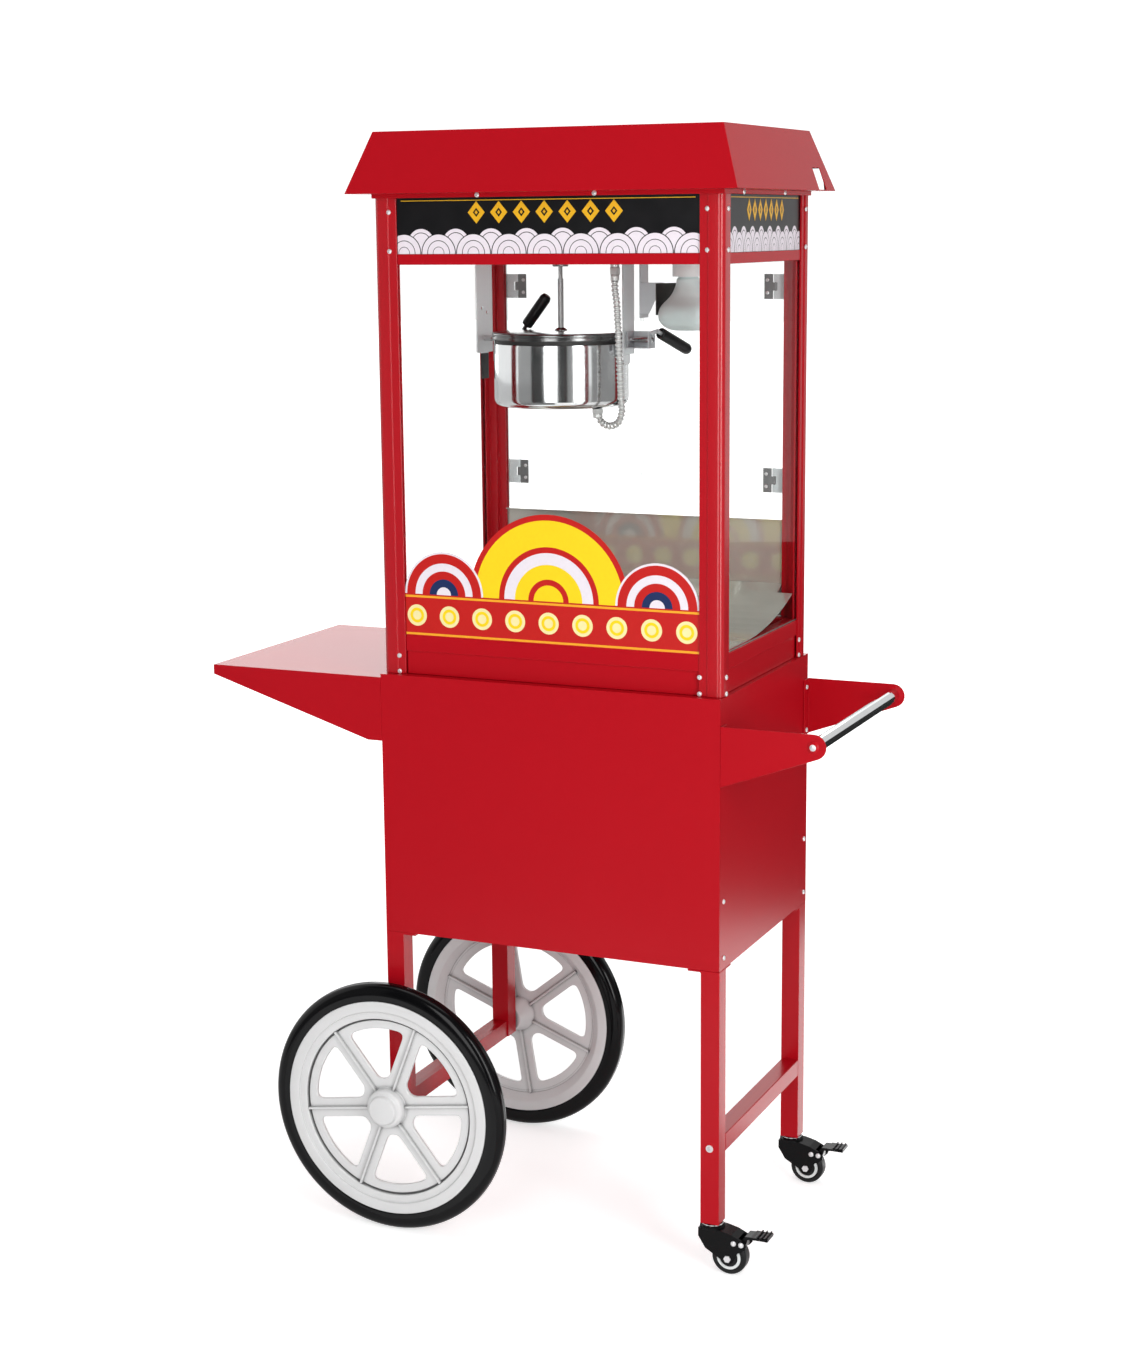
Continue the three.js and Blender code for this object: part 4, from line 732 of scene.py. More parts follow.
# Finishes, the rule that picks between them, and the height where faces are split.
SPECIAL = {
    "post_front_left": ([POST_ENAMEL],), "post_front_right": ([POST_ENAMEL],),
    "post_rear_left": ([POST_ENAMEL, PALE_ZINC], post_finish),
    "post_rear_right": ([FINISHES["red_paint"], PALE_ZINC], post_finish),
    "hanger_left": ([PALE_ZINC, NEAR_BLACK], hanger_finish, HANGER_TAB),
    **{pane: ([FINISHES["clear_pane"], PANE_EDGE], pane_finish)
       for pane in ("door_left", "door_right", "glass_left", "glass_front")},
    "glass_right": ([SIDE_PANE, PANE_EDGE], pane_finish),
    "lamp_holder": ([ZINC, SHIELD_PAINTED_SHADE, PALE_PLASTIC], lamp_holder_finish),
}
for refined_node, eased in REFINED.items():
    refined(refined_node, eased * MM, *SPECIAL.get(refined_node, ()))

HINGE_LEAVES = {side: [f"hinge_leaf_{side}_{level}" for level in ("lower", "upper")]
                for side in ("left", "right")}
NODE_FINISH = {
    "hanger_right": PALE_ZINC, "tilt_arm": ZINC,
    **dict.fromkeys(("rear_lower_panel", "serving_deck", "crumb_drawer", "control_panel"), SHEET_STEEL),
    # Painted shade: the hinge leaves on the doors take this darker finish; the leaves on the posts are pale
    # zinc.
    **dict.fromkeys(("agitator", "drive_coupling", *HINGE_LEAVES["left"], *HINGE_LEAVES["right"]), DRAWN_ROD),
}
for plain_node, plain_object in NODES.items():
    if plain_node not in REFINED:
        plain_object.data.materials.clear()
        plain_object.data.materials.append(NODE_FINISH.get(plain_node) or FINISHES[SLOT_OF[plain_node]])

# ---------------------------------------------------------------- big wheels
SPOKES = 6
WHEELS_TURNED = math.radians(9)
RIM_EDGE = 158 * MM
RIM_GROOVE = 143 * MM
RIM_STEP = 130 * MM
RIM_HALF = 13 * MM
WINDOW_OUTER = 117 * MM
WINDOW_INNER = 43 * MM
WINDOW_ROUND = 11 * MM
SPOKE_WIDTH = 28 * MM
WEB = 6 * MM
FIN_RISE = 4 * MM                    # how far a fin stands out of the web on each side
HUB_RADIUS = 28 * MM
HUB_REACH = 20 * MM
HUB_BACK = 30 * MM
CAP_RADIUS = 22 * MM
CAP_REACH = 27 * MM
AXLE_BORE = 8.3 * MM
NUT_ROOM = 12 * MM
TYRE_HALF = 14 * MM
TYRE_WALL = 7 * MM                   # from the bead to where the tyre starts to round
TREAD_GROOVE = 0.7 * MM
TREAD_GROOVES = (-5 * MM, 0.0, 5 * MM)
ROUND_SIDES = 144


def wheel_place(side, outward, turn):
    axis = Matrix(((1, 0, 0, 0), (0, 0, outward, 0), (0, -outward, 0, 0), (0, 0, 0, 1)))
    return Matrix.Translation(middle(f"tyre_{side}")) @ axis @ Matrix.Rotation(turn, 4, "Z")


def spoke_window(turn):
    half = math.pi / SPOKES
    outer = half - math.asin(SPOKE_WIDTH / 2 / WINDOW_OUTER)
    inner = half - math.asin(SPOKE_WIDTH / 2 / WINDOW_INNER)
    arc = [(WINDOW_OUTER, outer * share) for share in (-1.0, -0.5, 0.0, 0.5, 1.0)]
    corners = [(radius * math.cos(angle + turn), radius * math.sin(angle + turn))
               for radius, angle in (*arc, (WINDOW_INNER, inner), (WINDOW_INNER, -inner))]
    return rounded_outline(corners, WINDOW_ROUND)


def rim_web():
    windows = [spoke_window(2 * math.pi * (i + 0.5) / SPOKES) for i in range(SPOKES)]
    outside, hub_hole = circle(RIM_STEP - 1 * MM, ROUND_SIDES), circle(HUB_RADIUS - 6 * MM, 64)
    return plate([outside, hub_hole, *windows], WEB, 1.2 * MM)


def rim_fin():
    """A fin along a spoke, from the hub to the rim, proud of the web on both sides."""
    top, root = 1.3 * MM, 2.2 * MM
    half = [(top, -FIN_RISE), (root, 0), (root, WEB), (top, WEB + FIN_RISE)]
    section = [*half, *((-x, y) for x, y in reversed(half))]
    fin = plate([section], RIM_STEP - HUB_RADIUS + 5 * MM)
    fin.transform(stood_up(HUB_RADIUS - 4 * MM))
    return fin


def rim_ring():
    inside, face, floor = RIM_STEP - 2.5 * MM, RIM_HALF - 3 * MM, 2 * MM
    back = RIM_STEP + 2 * MM
    return softened([
        (back, 0), (inside, 0.6 * MM), (inside, floor), (RIM_STEP + 1 * MM, floor),
        (RIM_STEP + 1.4 * MM, RIM_HALF - 4 * MM), (back + 0.6 * MM, face), (RIM_GROOVE - 1 * MM, face),
        (RIM_GROOVE, RIM_HALF), (RIM_EDGE, RIM_HALF), (RIM_EDGE, -RIM_HALF), (RIM_GROOVE, -RIM_HALF),
        (back, -1 * MM),
    ], 1.2 * MM)


def rim_hub():
    """The hub and its cap, with the bore for the axle and the room for its nut."""
    nut_seat, nut_roof = HUB_REACH - 6 * MM, CAP_REACH - 3 * MM
    return softened([
        (0, CAP_REACH), (CAP_RADIUS - 2 * MM, CAP_REACH - 0.6 * MM), (CAP_RADIUS, HUB_REACH + 0.8 * MM),
        (HUB_RADIUS - 3 * MM, HUB_REACH), (HUB_RADIUS, HUB_REACH - 3 * MM),
        (HUB_RADIUS + 0.8 * MM, WEB + 1 * MM), (HUB_RADIUS + 3 * MM, WEB - 1 * MM), (HUB_RADIUS, 0),
        (AXLE_BORE + 9 * MM, -HUB_BACK), (AXLE_BORE, -HUB_BACK),
        (AXLE_BORE, nut_seat), (NUT_ROOM, nut_seat), (NUT_ROOM, nut_roof), (0, nut_roof),
    ], 1.5 * MM)


def make_rim(side, outward, turn):
    work = bmesh.new()
    put(work, rim_web())
    fin = rim_fin()
    for i in range(SPOKES):
        put(work, fin, Matrix.Rotation(2 * math.pi * i / SPOKES, 4, "Z"))
    turned(work, rim_ring(), ROUND_SIDES, closed=True)
    turned(work, rim_hub())
    rim = f"wheel_rim_{side}"
    place = wheel_place(side, outward, turn)
    finished(f"rim_{side}", work, rim, [FINISHES["rim_plastic"]], [rim], place=place)


def tyre_profile():
    bead, crown = RIM_EDGE + FIT, (high("tyre_front").z - low("tyre_front").z) / 2
    shoulder = bead + TYRE_WALL
    seat = RIM_HALF - 0.8 * MM
    tread = [(bead, -seat), (bead, seat)]
    for i in range(25):
        angle = math.radians(90 - 7.5 * i)
        radius = shoulder + (crown - shoulder) * math.cos(angle) ** 0.8
        height = TYRE_HALF * math.copysign(abs(math.sin(angle)) ** 0.9, angle)
        in_groove = min(abs(height - at) for at in TREAD_GROOVES) < 0.6 * MM and radius > shoulder
        tread.append((radius - TREAD_GROOVE if in_groove else radius, height))
    return tread


def make_tyre(side, outward):
    work = bmesh.new()
    turned(work, tyre_profile(), ROUND_SIDES, closed=True)
    finished(f"tyre_skin_{side}", work, f"tyre_{side}", [FINISHES["tyre_rubber"]], [f"tyre_{side}"],
             math.radians(40), wheel_place(side, outward, 0.0))


for wheel_side, wheel_outward, wheel_turn in (
        ("front", -1, WHEELS_TURNED), ("rear", 1, math.pi / SPOKES - WHEELS_TURNED)):
    make_rim(wheel_side, wheel_outward, wheel_turn)
    make_tyre(wheel_side, wheel_outward)

# ---------------------------------------------------------------- casters
FORK_HALF = 14.5 * MM
CASTER_TRAIL = 27 * MM               # from the swivel's axis to the wheel's
CASTER_HALF_SECTION = mm((4.3, 11.0), (12.5, 11.0), (13.2, 9.4), (17.2, 8.8), (18.2, 10.0), (22.0, 10.2),
                         (24.4, 8.6), (25.0, 6.0))
CASTER_RING = mm((13.0, 9.0), (13.3, 10.7), (16.9, 10.7), (17.4, 8.6))
CASTER_COLLAR = mm((13.0, -4.2), (15.2, -3.8), (14.9, -1.0), (12.5, -0.3))
FORK_RIVETS = mm((8.5, 23.5), (19.5, 23))


def caster_wheel(side):
    """The black wheel with a pale ring on each face."""
    centre = middle(f"caster_wheel_{side}")
    work = bmesh.new()
    profile = CASTER_HALF_SECTION + [(radius, -height) for radius, height in reversed(CASTER_HALF_SECTION)]
    turned(work, softened(profile, 1.0 * MM), 64, placed(centre, (0, 1, 0)), closed=True)
    for face in (-1, 1):
        turned(work, CASTER_RING, 64, placed(centre, (0, face, 0)), 1, closed=True)
    finished(f"caster_tread_{side}", work, f"caster_wheel_{side}",
             [FINISHES["black_plastic"], PALE_PLASTIC], [f"caster_wheel_{side}"])


def rivet(work, place, radius, rise):
    foot = -0.6 * MM
    turned(work, [(0, rise), (radius * 0.55, rise * 0.86), (radius * 0.9, rise * 0.45), (radius, 0),
                  (radius, foot), (0, foot)], 24, place)


def caster_rivets(side):
    """Two rivets and an axle nut on each cheek of the fork, and the pale collar under the leg."""
    axle = middle(f"caster_wheel_{side}")
    work = bmesh.new()
    for face in (-1, 1):
        for along, up in FORK_RIVETS:
            point = axle + Vector((along, face * FORK_HALF, up))
            rivet(work, placed(point, (0, face, 0)), 3.9 * MM, 2.4 * MM)
        nut = plate([circle(5.2 * MM, 6)], 2.4 * MM, 0.4 * MM)
        put(work, nut, placed(axle + Vector((0, face * (FORK_HALF + 0.4 * MM), 0)), (0, face, 0)))
    swivel = placed((axle.x - CASTER_TRAIL, axle.y, low(f"leg_{side}_right").z))
    turned(work, CASTER_COLLAR, 48, swivel, 1, closed=True)
    finished(f"caster_rivets_{side}", work, f"caster_fork_{side}", [BRIGHT_ZINC, PALE_PLASTIC])


for caster_side in ("front", "rear"):
    caster_wheel(caster_side)
    caster_rivets(caster_side)

# ---------------------------------------------------------------- kettle
POT_RADIUS = 94 * MM
NECK_RADIUS = 91 * MM
BOWL_RADIUS = 88.5 * MM
POT_BASE = low("kettle_pot").z - PIVOT.z
BOWL_FLOOR = POT_BASE + 12 * MM
POT_SHOULDER = -5 * MM
LID_RADIUS = 96.5 * MM
LID_SPLIT = 8 * MM
LID_LOW = FIT
LID_HIGH = LID_LOW + 11.5 * MM
SHAFT_BORE = 4.3 * MM
BOSS_ROOM = 12.5 * MM                # what the hinged half leaves free round the fixed half's boss
LUG_WIDTH = 24 * MM
LUG_DROP = 34 * MM
LUG_RISE = 9 * MM
PIN_RADIUS = 4 * MM
GRIP_RADIUS = 8 * MM
ON_PIVOT = Matrix.Translation(PIVOT)


def pot_lug(work, side):
    """The plate with the trunnion pin on one side of the pot."""
    face = side * (LID_RADIUS + 1 * MM)
    half = LUG_WIDTH / 2

    def upright_plate(top, rounding, thickness, out):
        corners = [(-half, -LUG_DROP), (half, -LUG_DROP), (half, top), (-half, top)]
        lug = plate([rounded_outline(corners, rounding)], thickness, 0.4 * MM)
        put(work, lug, ON_PIVOT @ stood_up(out, side))

    upright_plate(LUG_RISE, 6 * MM, 2 * MM, face)
    upright_plate(-10 * MM, 3 * MM, 6 * MM, face - side * 5.5 * MM)
    start = PIVOT.x + face
    length = abs((high if side > 0 else low)("kettle_pot").x - start)
    radius, chamfer = PIN_RADIUS, 0.8 * MM
    pin = [(0, 0), (radius, 0), (radius, length - chamfer), (radius - chamfer, length), (0, length)]
    turned(work, pin, 32, placed((start, 0, PIVOT.z), (side, 0, 0)))


def make_pot():
    work = bmesh.new()
    wall = softened([(0, POT_BASE), (POT_RADIUS, POT_BASE), (POT_RADIUS, POT_SHOULDER)], 13 * MM, 10)[:-1]
    rolled = [(POT_RADIUS, POT_SHOULDER - 2.0 * MM), (POT_RADIUS - 0.4 * MM, POT_SHOULDER - 0.5 * MM),
              (POT_RADIUS - 1.2 * MM, POT_SHOULDER)]
    neck = [(NECK_RADIUS, POT_SHOULDER - 0.2 * MM), (NECK_RADIUS, 0)]
    inside = [(BOWL_RADIUS, 0), (BOWL_RADIUS, BOWL_FLOOR + 6 * MM),
              (BOWL_RADIUS - 6 * MM, BOWL_FLOOR), (0, BOWL_FLOOR)]
    turned(work, [*wall, *rolled, *neck, *inside], ROUND_SIDES, ON_PIVOT)
    # Painted shadow: the neck under the lid's overhang takes the near-black finish.
    for face in work.faces:
        centre = face.calc_center_median() - PIVOT
        on_neck = centre.z > POT_SHOULDER and math.hypot(centre.x, centre.y) > BOWL_RADIUS + 1 * MM
        face.material_index = int(on_neck)
    for side in (-1, 1):
        pot_lug(work, side)
    finished("kettle_body", work, "kettle_pot", [FINISHES["polished_steel"], NEAR_BLACK], ["kettle_pot"])


def lid_disc(keep):
    """The rear half for 1 and the front half for -1, with the cut face closed."""
    work = bmesh.new()
    groove = (LID_LOW + LID_HIGH) / 2
    lip, in_groove = groove - 1.5 * MM, LID_RADIUS - 2 * MM
    profile = softened([
        (0, LID_LOW), (LID_RADIUS, LID_LOW), (LID_RADIUS, lip), (in_groove, lip), (in_groove, groove),
        (LID_RADIUS, groove), (LID_RADIUS, LID_HIGH - 3 * MM), (in_groove, LID_HIGH - 1.5 * MM),
        (LID_RADIUS - 30 * MM, LID_HIGH), (0, LID_HIGH),
    ], 0.5 * MM, 2)
    turned(work, profile, ROUND_SIDES, ON_PIVOT)
    cut = PIVOT + Vector((0, LID_SPLIT + keep * FIT / 2, 0))
    made = bmesh.ops.bisect_plane(work, geom=everything_in(work), plane_co=cut, plane_no=(0, -keep, 0),
                                  clear_outer=True)
    seam = [thing for thing in made["geom_cut"] if isinstance(thing, bmesh.types.BMEdge)]
    bmesh.ops.holes_fill(work, edges=seam)
    return mesh_from("lid_disc", work)


def make_lid():
    fixed = bmesh.new()
    put(fixed, lid_disc(-1))
    boss_top = LID_HIGH + 4 * MM
    boss = softened([(SHAFT_BORE, LID_LOW), (9 * MM, LID_LOW), (9 * MM, LID_HIGH + 1 * MM),
                     (5.2 * MM, boss_top), (SHAFT_BORE, boss_top)], 0.6 * MM, 3)
    turned(fixed, boss, 48, ON_PIVOT, closed=True)
    finished("lid_front", fixed, "lid_half", [USED_STEEL], ["lid_half"])
    tool = bmesh.new()
    turned(tool, [(0, -5 * MM), (BOSS_ROOM, -5 * MM), (BOSS_ROOM, 20 * MM), (0, 20 * MM)], 64, ON_PIVOT)
    moving = bmesh.new()
    put(moving, cut_out(lid_disc(1), mesh_from("notch", tool)))
    foot, lean = lid_grip_line()
    tube(moving, [foot - lean * 1 * MM, foot + lean * 30 * MM], [3 * MM, 3 * MM])
    finished("lid_rear", moving, "lid_flap", [USED_STEEL], ["lid_flap"])


def lid_grip_line():
    """Where the lid's grip starts and how it leans."""
    return PIVOT + Vector((-71 * MM, 30 * MM, LID_HIGH)), Vector((33, 0, 42)).normalized()


def tilt_grip_line():
    """Where the tilting grip starts and how it leans."""
    start = Vector((high("kettle_pot").x + 6 * MM, 0, PIVOT.z + 12 * MM))
    return start, Vector((22, 52, -26)).normalized()


def make_grip(name, node, line, first, length):
    """A moulded sleeve with a mouth at its near end and a domed far end."""
    start, lean = line
    bore, mouth, depth = 3.3 * MM, 4.9 * MM, 8 * MM
    profile = softened([
        (bore, depth), (bore, 5 * MM), (mouth, 4.6 * MM), (mouth, 0), (GRIP_RADIUS - 0.6 * MM, 0),
        (GRIP_RADIUS, 2 * MM), (GRIP_RADIUS, length - 5 * MM), (GRIP_RADIUS - 2.2 * MM, length), (0, length),
    ], 1.6 * MM, 5)
    work = bmesh.new()
    turned(work, [(0, depth), *profile], 48, placed(start + lean * first, lean))
    finished(name, work, node, [FINISHES["black_plastic"]], [node])


make_pot()
make_lid()
make_grip("lid_handle", "lid_grip", lid_grip_line(), 6.5 * MM, 53 * MM)
make_grip("tilt_handle", "tilt_grip", tilt_grip_line(), 6 * MM, 62 * MM)

# ---------------------------------------------------------------- conduit and lamp
CONDUIT_TOP = 103 * MM               # from the kettle's middle to the ceiling nut
CONDUIT_OUT = 112 * MM               # and to the loop's outside
CONDUIT_LOOP = 20 * MM
CONDUIT_Y = -50 * MM
CONDUIT_BACK = -40 * MM
RIB_SPACING = 1.4 * MM
RIBS = (3.6 * MM, 5.1 * MM, 5.1 * MM, 3.6 * MM)
# Nuts and ferrules one after another: start, length and radius in millimetres, and sides.
CEILING_FITTINGS = ((0, 12, 8.0, 6), (12, 6, 6.2, 32), (18, 10, 7.6, 6), (28, 8, 6.0, 32))
KETTLE_FITTINGS = ((0, 7, 8.0, 6), (7, 6, 6.4, 32))


def conduit_fittings(work, place, fittings):
    for start, length, radius, sides in fittings:
        end = start + length
        profile = mm((0, start), (radius, start), (radius, end), (0, end))
        turned(work, softened(profile, 0.7 * MM, 2), sides, place)


def make_conduit():
    """The ribbed armour in its loop, with its nuts."""
    foot = low("kettle_pot").z - FIT
    ceiling = high("conduit").z
    bend = foot - 3 * MM
    top, out, loop, y, back = CONDUIT_TOP, CONDUIT_OUT, CONDUIT_LOOP, CONDUIT_Y, CONDUIT_BACK
    inner = out - 2 * loop
    route = [
        (top, y, ceiling - 30 * MM), (top, y, ceiling - 48 * MM),
        (top + 3 * MM, y, (ceiling + PIVOT.z) / 2 - 16 * MM), (out - 2 * MM, y, bend + 2.5 * loop),
        (out, y, bend + loop / 2), (out, y, bend), (out - 0.3 * loop, y + 2 * MM, bend - 0.72 * loop),
        (out - loop, (y + back) / 2, bend - loop), (inner + 0.3 * loop, back - 2 * MM, bend - 0.72 * loop),
        (inner, back, bend), (inner, back, foot - 4 * MM),
    ]
    path = smooth_path([(PIVOT.x + dx, dy, z) for dx, dy, z in route], RIB_SPACING)
    work = bmesh.new()
    tube(work, path, [RIBS[i % len(RIBS)] for i in range(len(path))], 20)
    conduit_fittings(work, placed((PIVOT.x + top, y, ceiling), (0, 0, -1)), CEILING_FITTINGS)
    conduit_fittings(work, placed((PIVOT.x + inner, back, foot), (0, 0, -1)), KETTLE_FITTINGS)
    mesh = mesh_from("conduit_armour", work)
    shade(mesh)
    piece = new_piece("conduit_armour", mesh, [RIBBED_ZINC], ["conduit"])
    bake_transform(piece)


def make_bulb():
    base = low("lamp_bulb").z
    length, neck = high("lamp_bulb").z - base, 13 * MM
    glass = mm((0, 0), (26, 0.5), (40.4, 12), (39.6, 30), (22, 47), (16.4, 60), (15.6, 68), (13, 70))
    work = bmesh.new()
    turned(work, softened([*glass, (neck, length), (0, length)], 16 * MM, 10),
           place=Matrix.Translation((LAMP.x, LAMP.y, base)))
    finished("lamp_globe", work, "lamp_bulb", [FINISHES["frosted_glass"]], ["lamp_bulb"], math.radians(45))


make_conduit()
make_bulb()

# ---------------------------------------------------------------- printed patterns, in millimetres
INK_LAYER = 0.03 * MM
FRONT_HALF_WIDTH = 217.5
SIDE_HALF_WIDTH = 141
SIDE_SQUEEZE = 0.66                  # the side signs carry the front's pattern, narrower
HUMP_PITCH = 52
BACK_HUMPS = (("white", 20), ("black", 15.4), ("white", 14.4))
FRONT_HUMPS = (("black", 25.8), ("white", 24.5), ("black", 17.0), ("white", 16.0), ("black", 8.6),
               ("white", 7.8))
BACK_HUMPS_RISE = 13
FRONT_HUMPS_RISE = 1
LOZENGES = 7
LOZENGE_PITCH = 33
LOZENGE_HEIGHT = 54
LOZENGE_RINGS = (("gold", 12.5, 14.5), ("black", 5.0, 6.0), ("gold", 2.2, 2.8))
GOLD_LINE = (69.4, 70.4)
BAND_HEIGHT = 59
BAND_LINES = ((1.5, 4.5), (54, 57))
DISC_PITCH = 50
DISC_HEIGHT = 29
DISC_RINGS = (("cream", 15), ("yellow", 10.5), ("cream", 6.5))
SIDE_ARCH = 158
ARCH_RINGS = (("red", 118), ("yellow", 110), ("red", 74), ("white", 66), ("yellow", 50), ("red", 30),
              ("yellow", 22))
SIDE_ARCH_RINGS = (("white", 60), ("red", 57), ("white", 44), ("red", 33), ("navy", 22), ("white", 11))


def ink_paint(name, colour):
    pale = tuple(0.92 * share for share in colour)
    return toned(name, 220.0, (pale, colour), Roughness=(0.32, 0.1), Specular_IOR_Level=0.3)


INKS = {name: ink_paint(f"ink_{name}", linear(*colour)) for name, colour in {
    "black": (10, 10, 11), "white": (236, 228, 236), "gold": (232, 178, 28), "yellow": (250, 214, 22),
    "orange": (246, 170, 40), "red": (196, 24, 20), "cream": (246, 232, 168), "navy": (26, 44, 92),
}.items()}


def printed(name, node, place, layers):
    """Prints the layers one over another, to be seen from both sides; each is an ink and its outlines."""
    inks = list(dict.fromkeys(ink for ink, _ in layers))
    work = bmesh.new()
    for i, (ink, outlines) in enumerate(layers):
        depth = (i + 1) * INK_LAYER
        layer = plate([mm(*outline) for outline in outlines], 2 * depth)
        put(work, layer, place @ Matrix.Translation((0, 0, -depth)), inks.index(ink))
    add_piece(name, mesh_from(name, work), node, [INKS[ink] for ink in inks])


def dome(x, radius, rise=0.0, foot=0.0, half_width=math.inf, squeeze=1.0):
    """A hump that stands on the foot line, cut off at the print's ends."""
    start = -math.asin(rise / radius)
    outline = []
    for i in range(41):
        angle = start + (math.pi - 2 * start) * i / 40
        outline.append((max(-half_width, min(half_width, x + radius * squeeze * math.cos(angle))),
                        foot + rise + radius * math.sin(angle)))
    return outline


def lozenge(x, y, half_width, half_height):
    return [(x + half_width, y), (x, y + half_height), (x - half_width, y), (x, y - half_height)]


def bar(half_width, foot, head):
    return [(-half_width, foot), (half_width, foot), (half_width, head), (-half_width, head)]


def sign_layers(half_width, squeeze=1.0):
    """A row of lozenges under a line, over two rows of overlapping humps."""
    pitch = HUMP_PITCH * squeeze
    reach = math.ceil(half_width / pitch)
    front = [pitch * k for k in range(-reach, reach + 1) if pitch * abs(k) < half_width + 12]
    back = [pitch * (k + 0.5) for k in range(-reach, reach) if pitch * abs(k + 0.5) < half_width + 8]

    def humps(places, radius, rise):
        return [dome(x, radius, rise, 0, half_width, squeeze) for x in places]

    places = [LOZENGE_PITCH * squeeze * (i - (LOZENGES - 1) / 2) for i in range(LOZENGES)]
    return [
        *((ink, humps(back, radius, BACK_HUMPS_RISE)) for ink, radius in BACK_HUMPS),
        *((ink, humps(front, radius, FRONT_HUMPS_RISE)) for ink, radius in FRONT_HUMPS),
        *((ink, [lozenge(x, LOZENGE_HEIGHT, width * squeeze, height) for x in places])
          for ink, width, height in LOZENGE_RINGS),
        ("gold", [bar(half_width - 6, *GOLD_LINE)]),
    ]


def front_layers(half_width):
    """Three ringed arches that stand on a band with a row of ringed discs."""
    discs = [DISC_PITCH * k for k in range(-4, 5)]
    return [
        *((ink, [dome(0, radius, 0, BAND_HEIGHT)]) for ink, radius in ARCH_RINGS),
        *((ink, [dome(x, radius, 0, BAND_HEIGHT) for x in (-SIDE_ARCH, SIDE_ARCH)])
          for ink, radius in SIDE_ARCH_RINGS),
        ("red", [bar(half_width, 0, BAND_HEIGHT)]),
        ("orange", [bar(half_width, *line) for line in BAND_LINES]),
        *((ink, [circle(radius, 40, (x, DISC_HEIGHT)) for x in discs]) for ink, radius in DISC_RINGS),
    ]


def facing(x, y, z, right):
    """A frame at the point with the given right-hand direction, up the wall and out of it."""
    right = Vector(right)
    up = Vector((0, 0, 1))
    out = right.cross(up)
    return Matrix.Translation((x, y, z)) @ Matrix((right, up, out)).transposed().to_4x4()


SIGN_FOOT = high("ceiling_pan").z + FIT
GLASS_FOOT = high("base_frame").z


def print_everything():
    front = facing(CABINET.x, low("sign_front").y, SIGN_FOOT, (1, 0, 0))
    printed("sign_print_front", "sign_front", front, sign_layers(FRONT_HALF_WIDTH))
    for side, edge, along in (("right", high, 1), ("left", low, -1)):
        place = facing(edge(f"sign_{side}").x, CABINET.y, SIGN_FOOT, (0, along, 0))
        printed(f"sign_print_{side}", f"sign_{side}", place, sign_layers(SIDE_HALF_WIDTH, SIDE_SQUEEZE))
    pane = facing(CABINET.x, low("glass_front").y, GLASS_FOOT, (1, 0, 0))
    printed("glass_print", "glass_front", pane, front_layers(FRONT_HALF_WIDTH))


print_everything()

# ---------------------------------------------------------------- screws and rivets
SCREW_RADIUS = 3.4 * MM
SCREW_RISE = 2.0 * MM
SCREW_TURN = 0.7                     # each head is turned this much further than the last
SEAT_SEARCH = 30 * MM                # how far off a screw's place its seat may be
SIGN_SCREWS = (55.4 * MM, 3.7 * MM)
BASE_SCREWS = (29.3 * MM, 51.5 * MM)
BASE_FRONT_X = (-228 * MM, 219 * MM)
BASE_SIDE_Y = (-157.6 * MM, 147.5 * MM)
POST_SCREW_X = 229 * MM
POST_SCREW_Y = 156 * MM
LIP_FRONT_X = (-94.6 * MM, 74.1 * MM)
LIP_SIDE_Y = (-103 * MM, 60 * MM)
LIP_RISE = 3 * MM
LIP_REACH = 1.5 * MM
HINGE_SCREW_X = 5 * MM
HINGE_SCREW_Z = (-9 * MM, 9 * MM)
CART_SCREWS = mm((-168, 527), (-166, 448), (172, 449), (172, 530))
BRACKET_SCREW_Y = (-172 * MM, 172 * MM)
BRACKET_SCREW_Z = (757 * MM, 694 * MM)
LEG_BOLT_Z = 180 * MM
LEG_BOLT_IN = 13.5 * MM
WASHER_RISE = 0.8 * MM
REFLECTOR_RADIUS = 46 * MM
REFLECTOR_SHEET = 0.8 * MM
REFLECTOR_RISE = 6 * MM
REFLECTOR_HEIGHT = 42 * MM
REFLECTOR_FROM = 75
REFLECTOR_SWEEP = 105


def pan_head(radius, rise):
    head = bmesh.new()
    foot = -0.3 * MM
    turned(head, [(0, rise), (radius * 0.5, rise * 0.95), (radius * 0.82, rise * 0.72),
                  (radius * 0.97, rise * 0.35), (radius, 0), (radius, foot), (0, foot)], 24)
    arm, width = radius * 0.62, radius * 0.14
    quarter = [(arm, width), (width, width), (width, arm)]
    cross = [*quarter, *((-x, y) for x, y in reversed(quarter)),
             *((-x, -y) for x, y in quarter), *((x, -y) for x, y in reversed(quarter))]
    tool = bmesh.new()
    put(tool, plate([cross], rise), Matrix.Translation((0, 0, rise * 0.45)))
    return cut_out(mesh_from("head", head), mesh_from("cross", tool))


def skin_of(nodes):
    """The outer faces of the nodes, for finding where a screw sits."""
    corners, faces = [], []
    for node in nodes:
        start = len(corners)
        corners += [NODES[node].matrix_world @ vertex.co for vertex in NODES[node].data.vertices]
        faces += [[start + i for i in face.vertices] for face in NODES[node].data.polygons]
    return BVHTree.FromPolygons(corners, faces)


def screws(name, node, places, on, radius=SCREW_RADIUS, rise=SCREW_RISE):
    """Cross-recessed heads on the faces nearest the (point, direction) places, each turned its own way."""
    head = pan_head(radius, rise)
    skin = skin_of(on)
    work = bmesh.new()
    for i, (point, direction) in enumerate(places):
        outward = Vector(direction)
        seat = skin.ray_cast(Vector(point) + outward * SEAT_SEARCH, -outward, 2 * SEAT_SEARCH)[0]
        put(work, head, placed(seat, outward, SCREW_TURN * i))
    finished(name, work, node, [BRIGHT_ZINC], crease=math.radians(40))


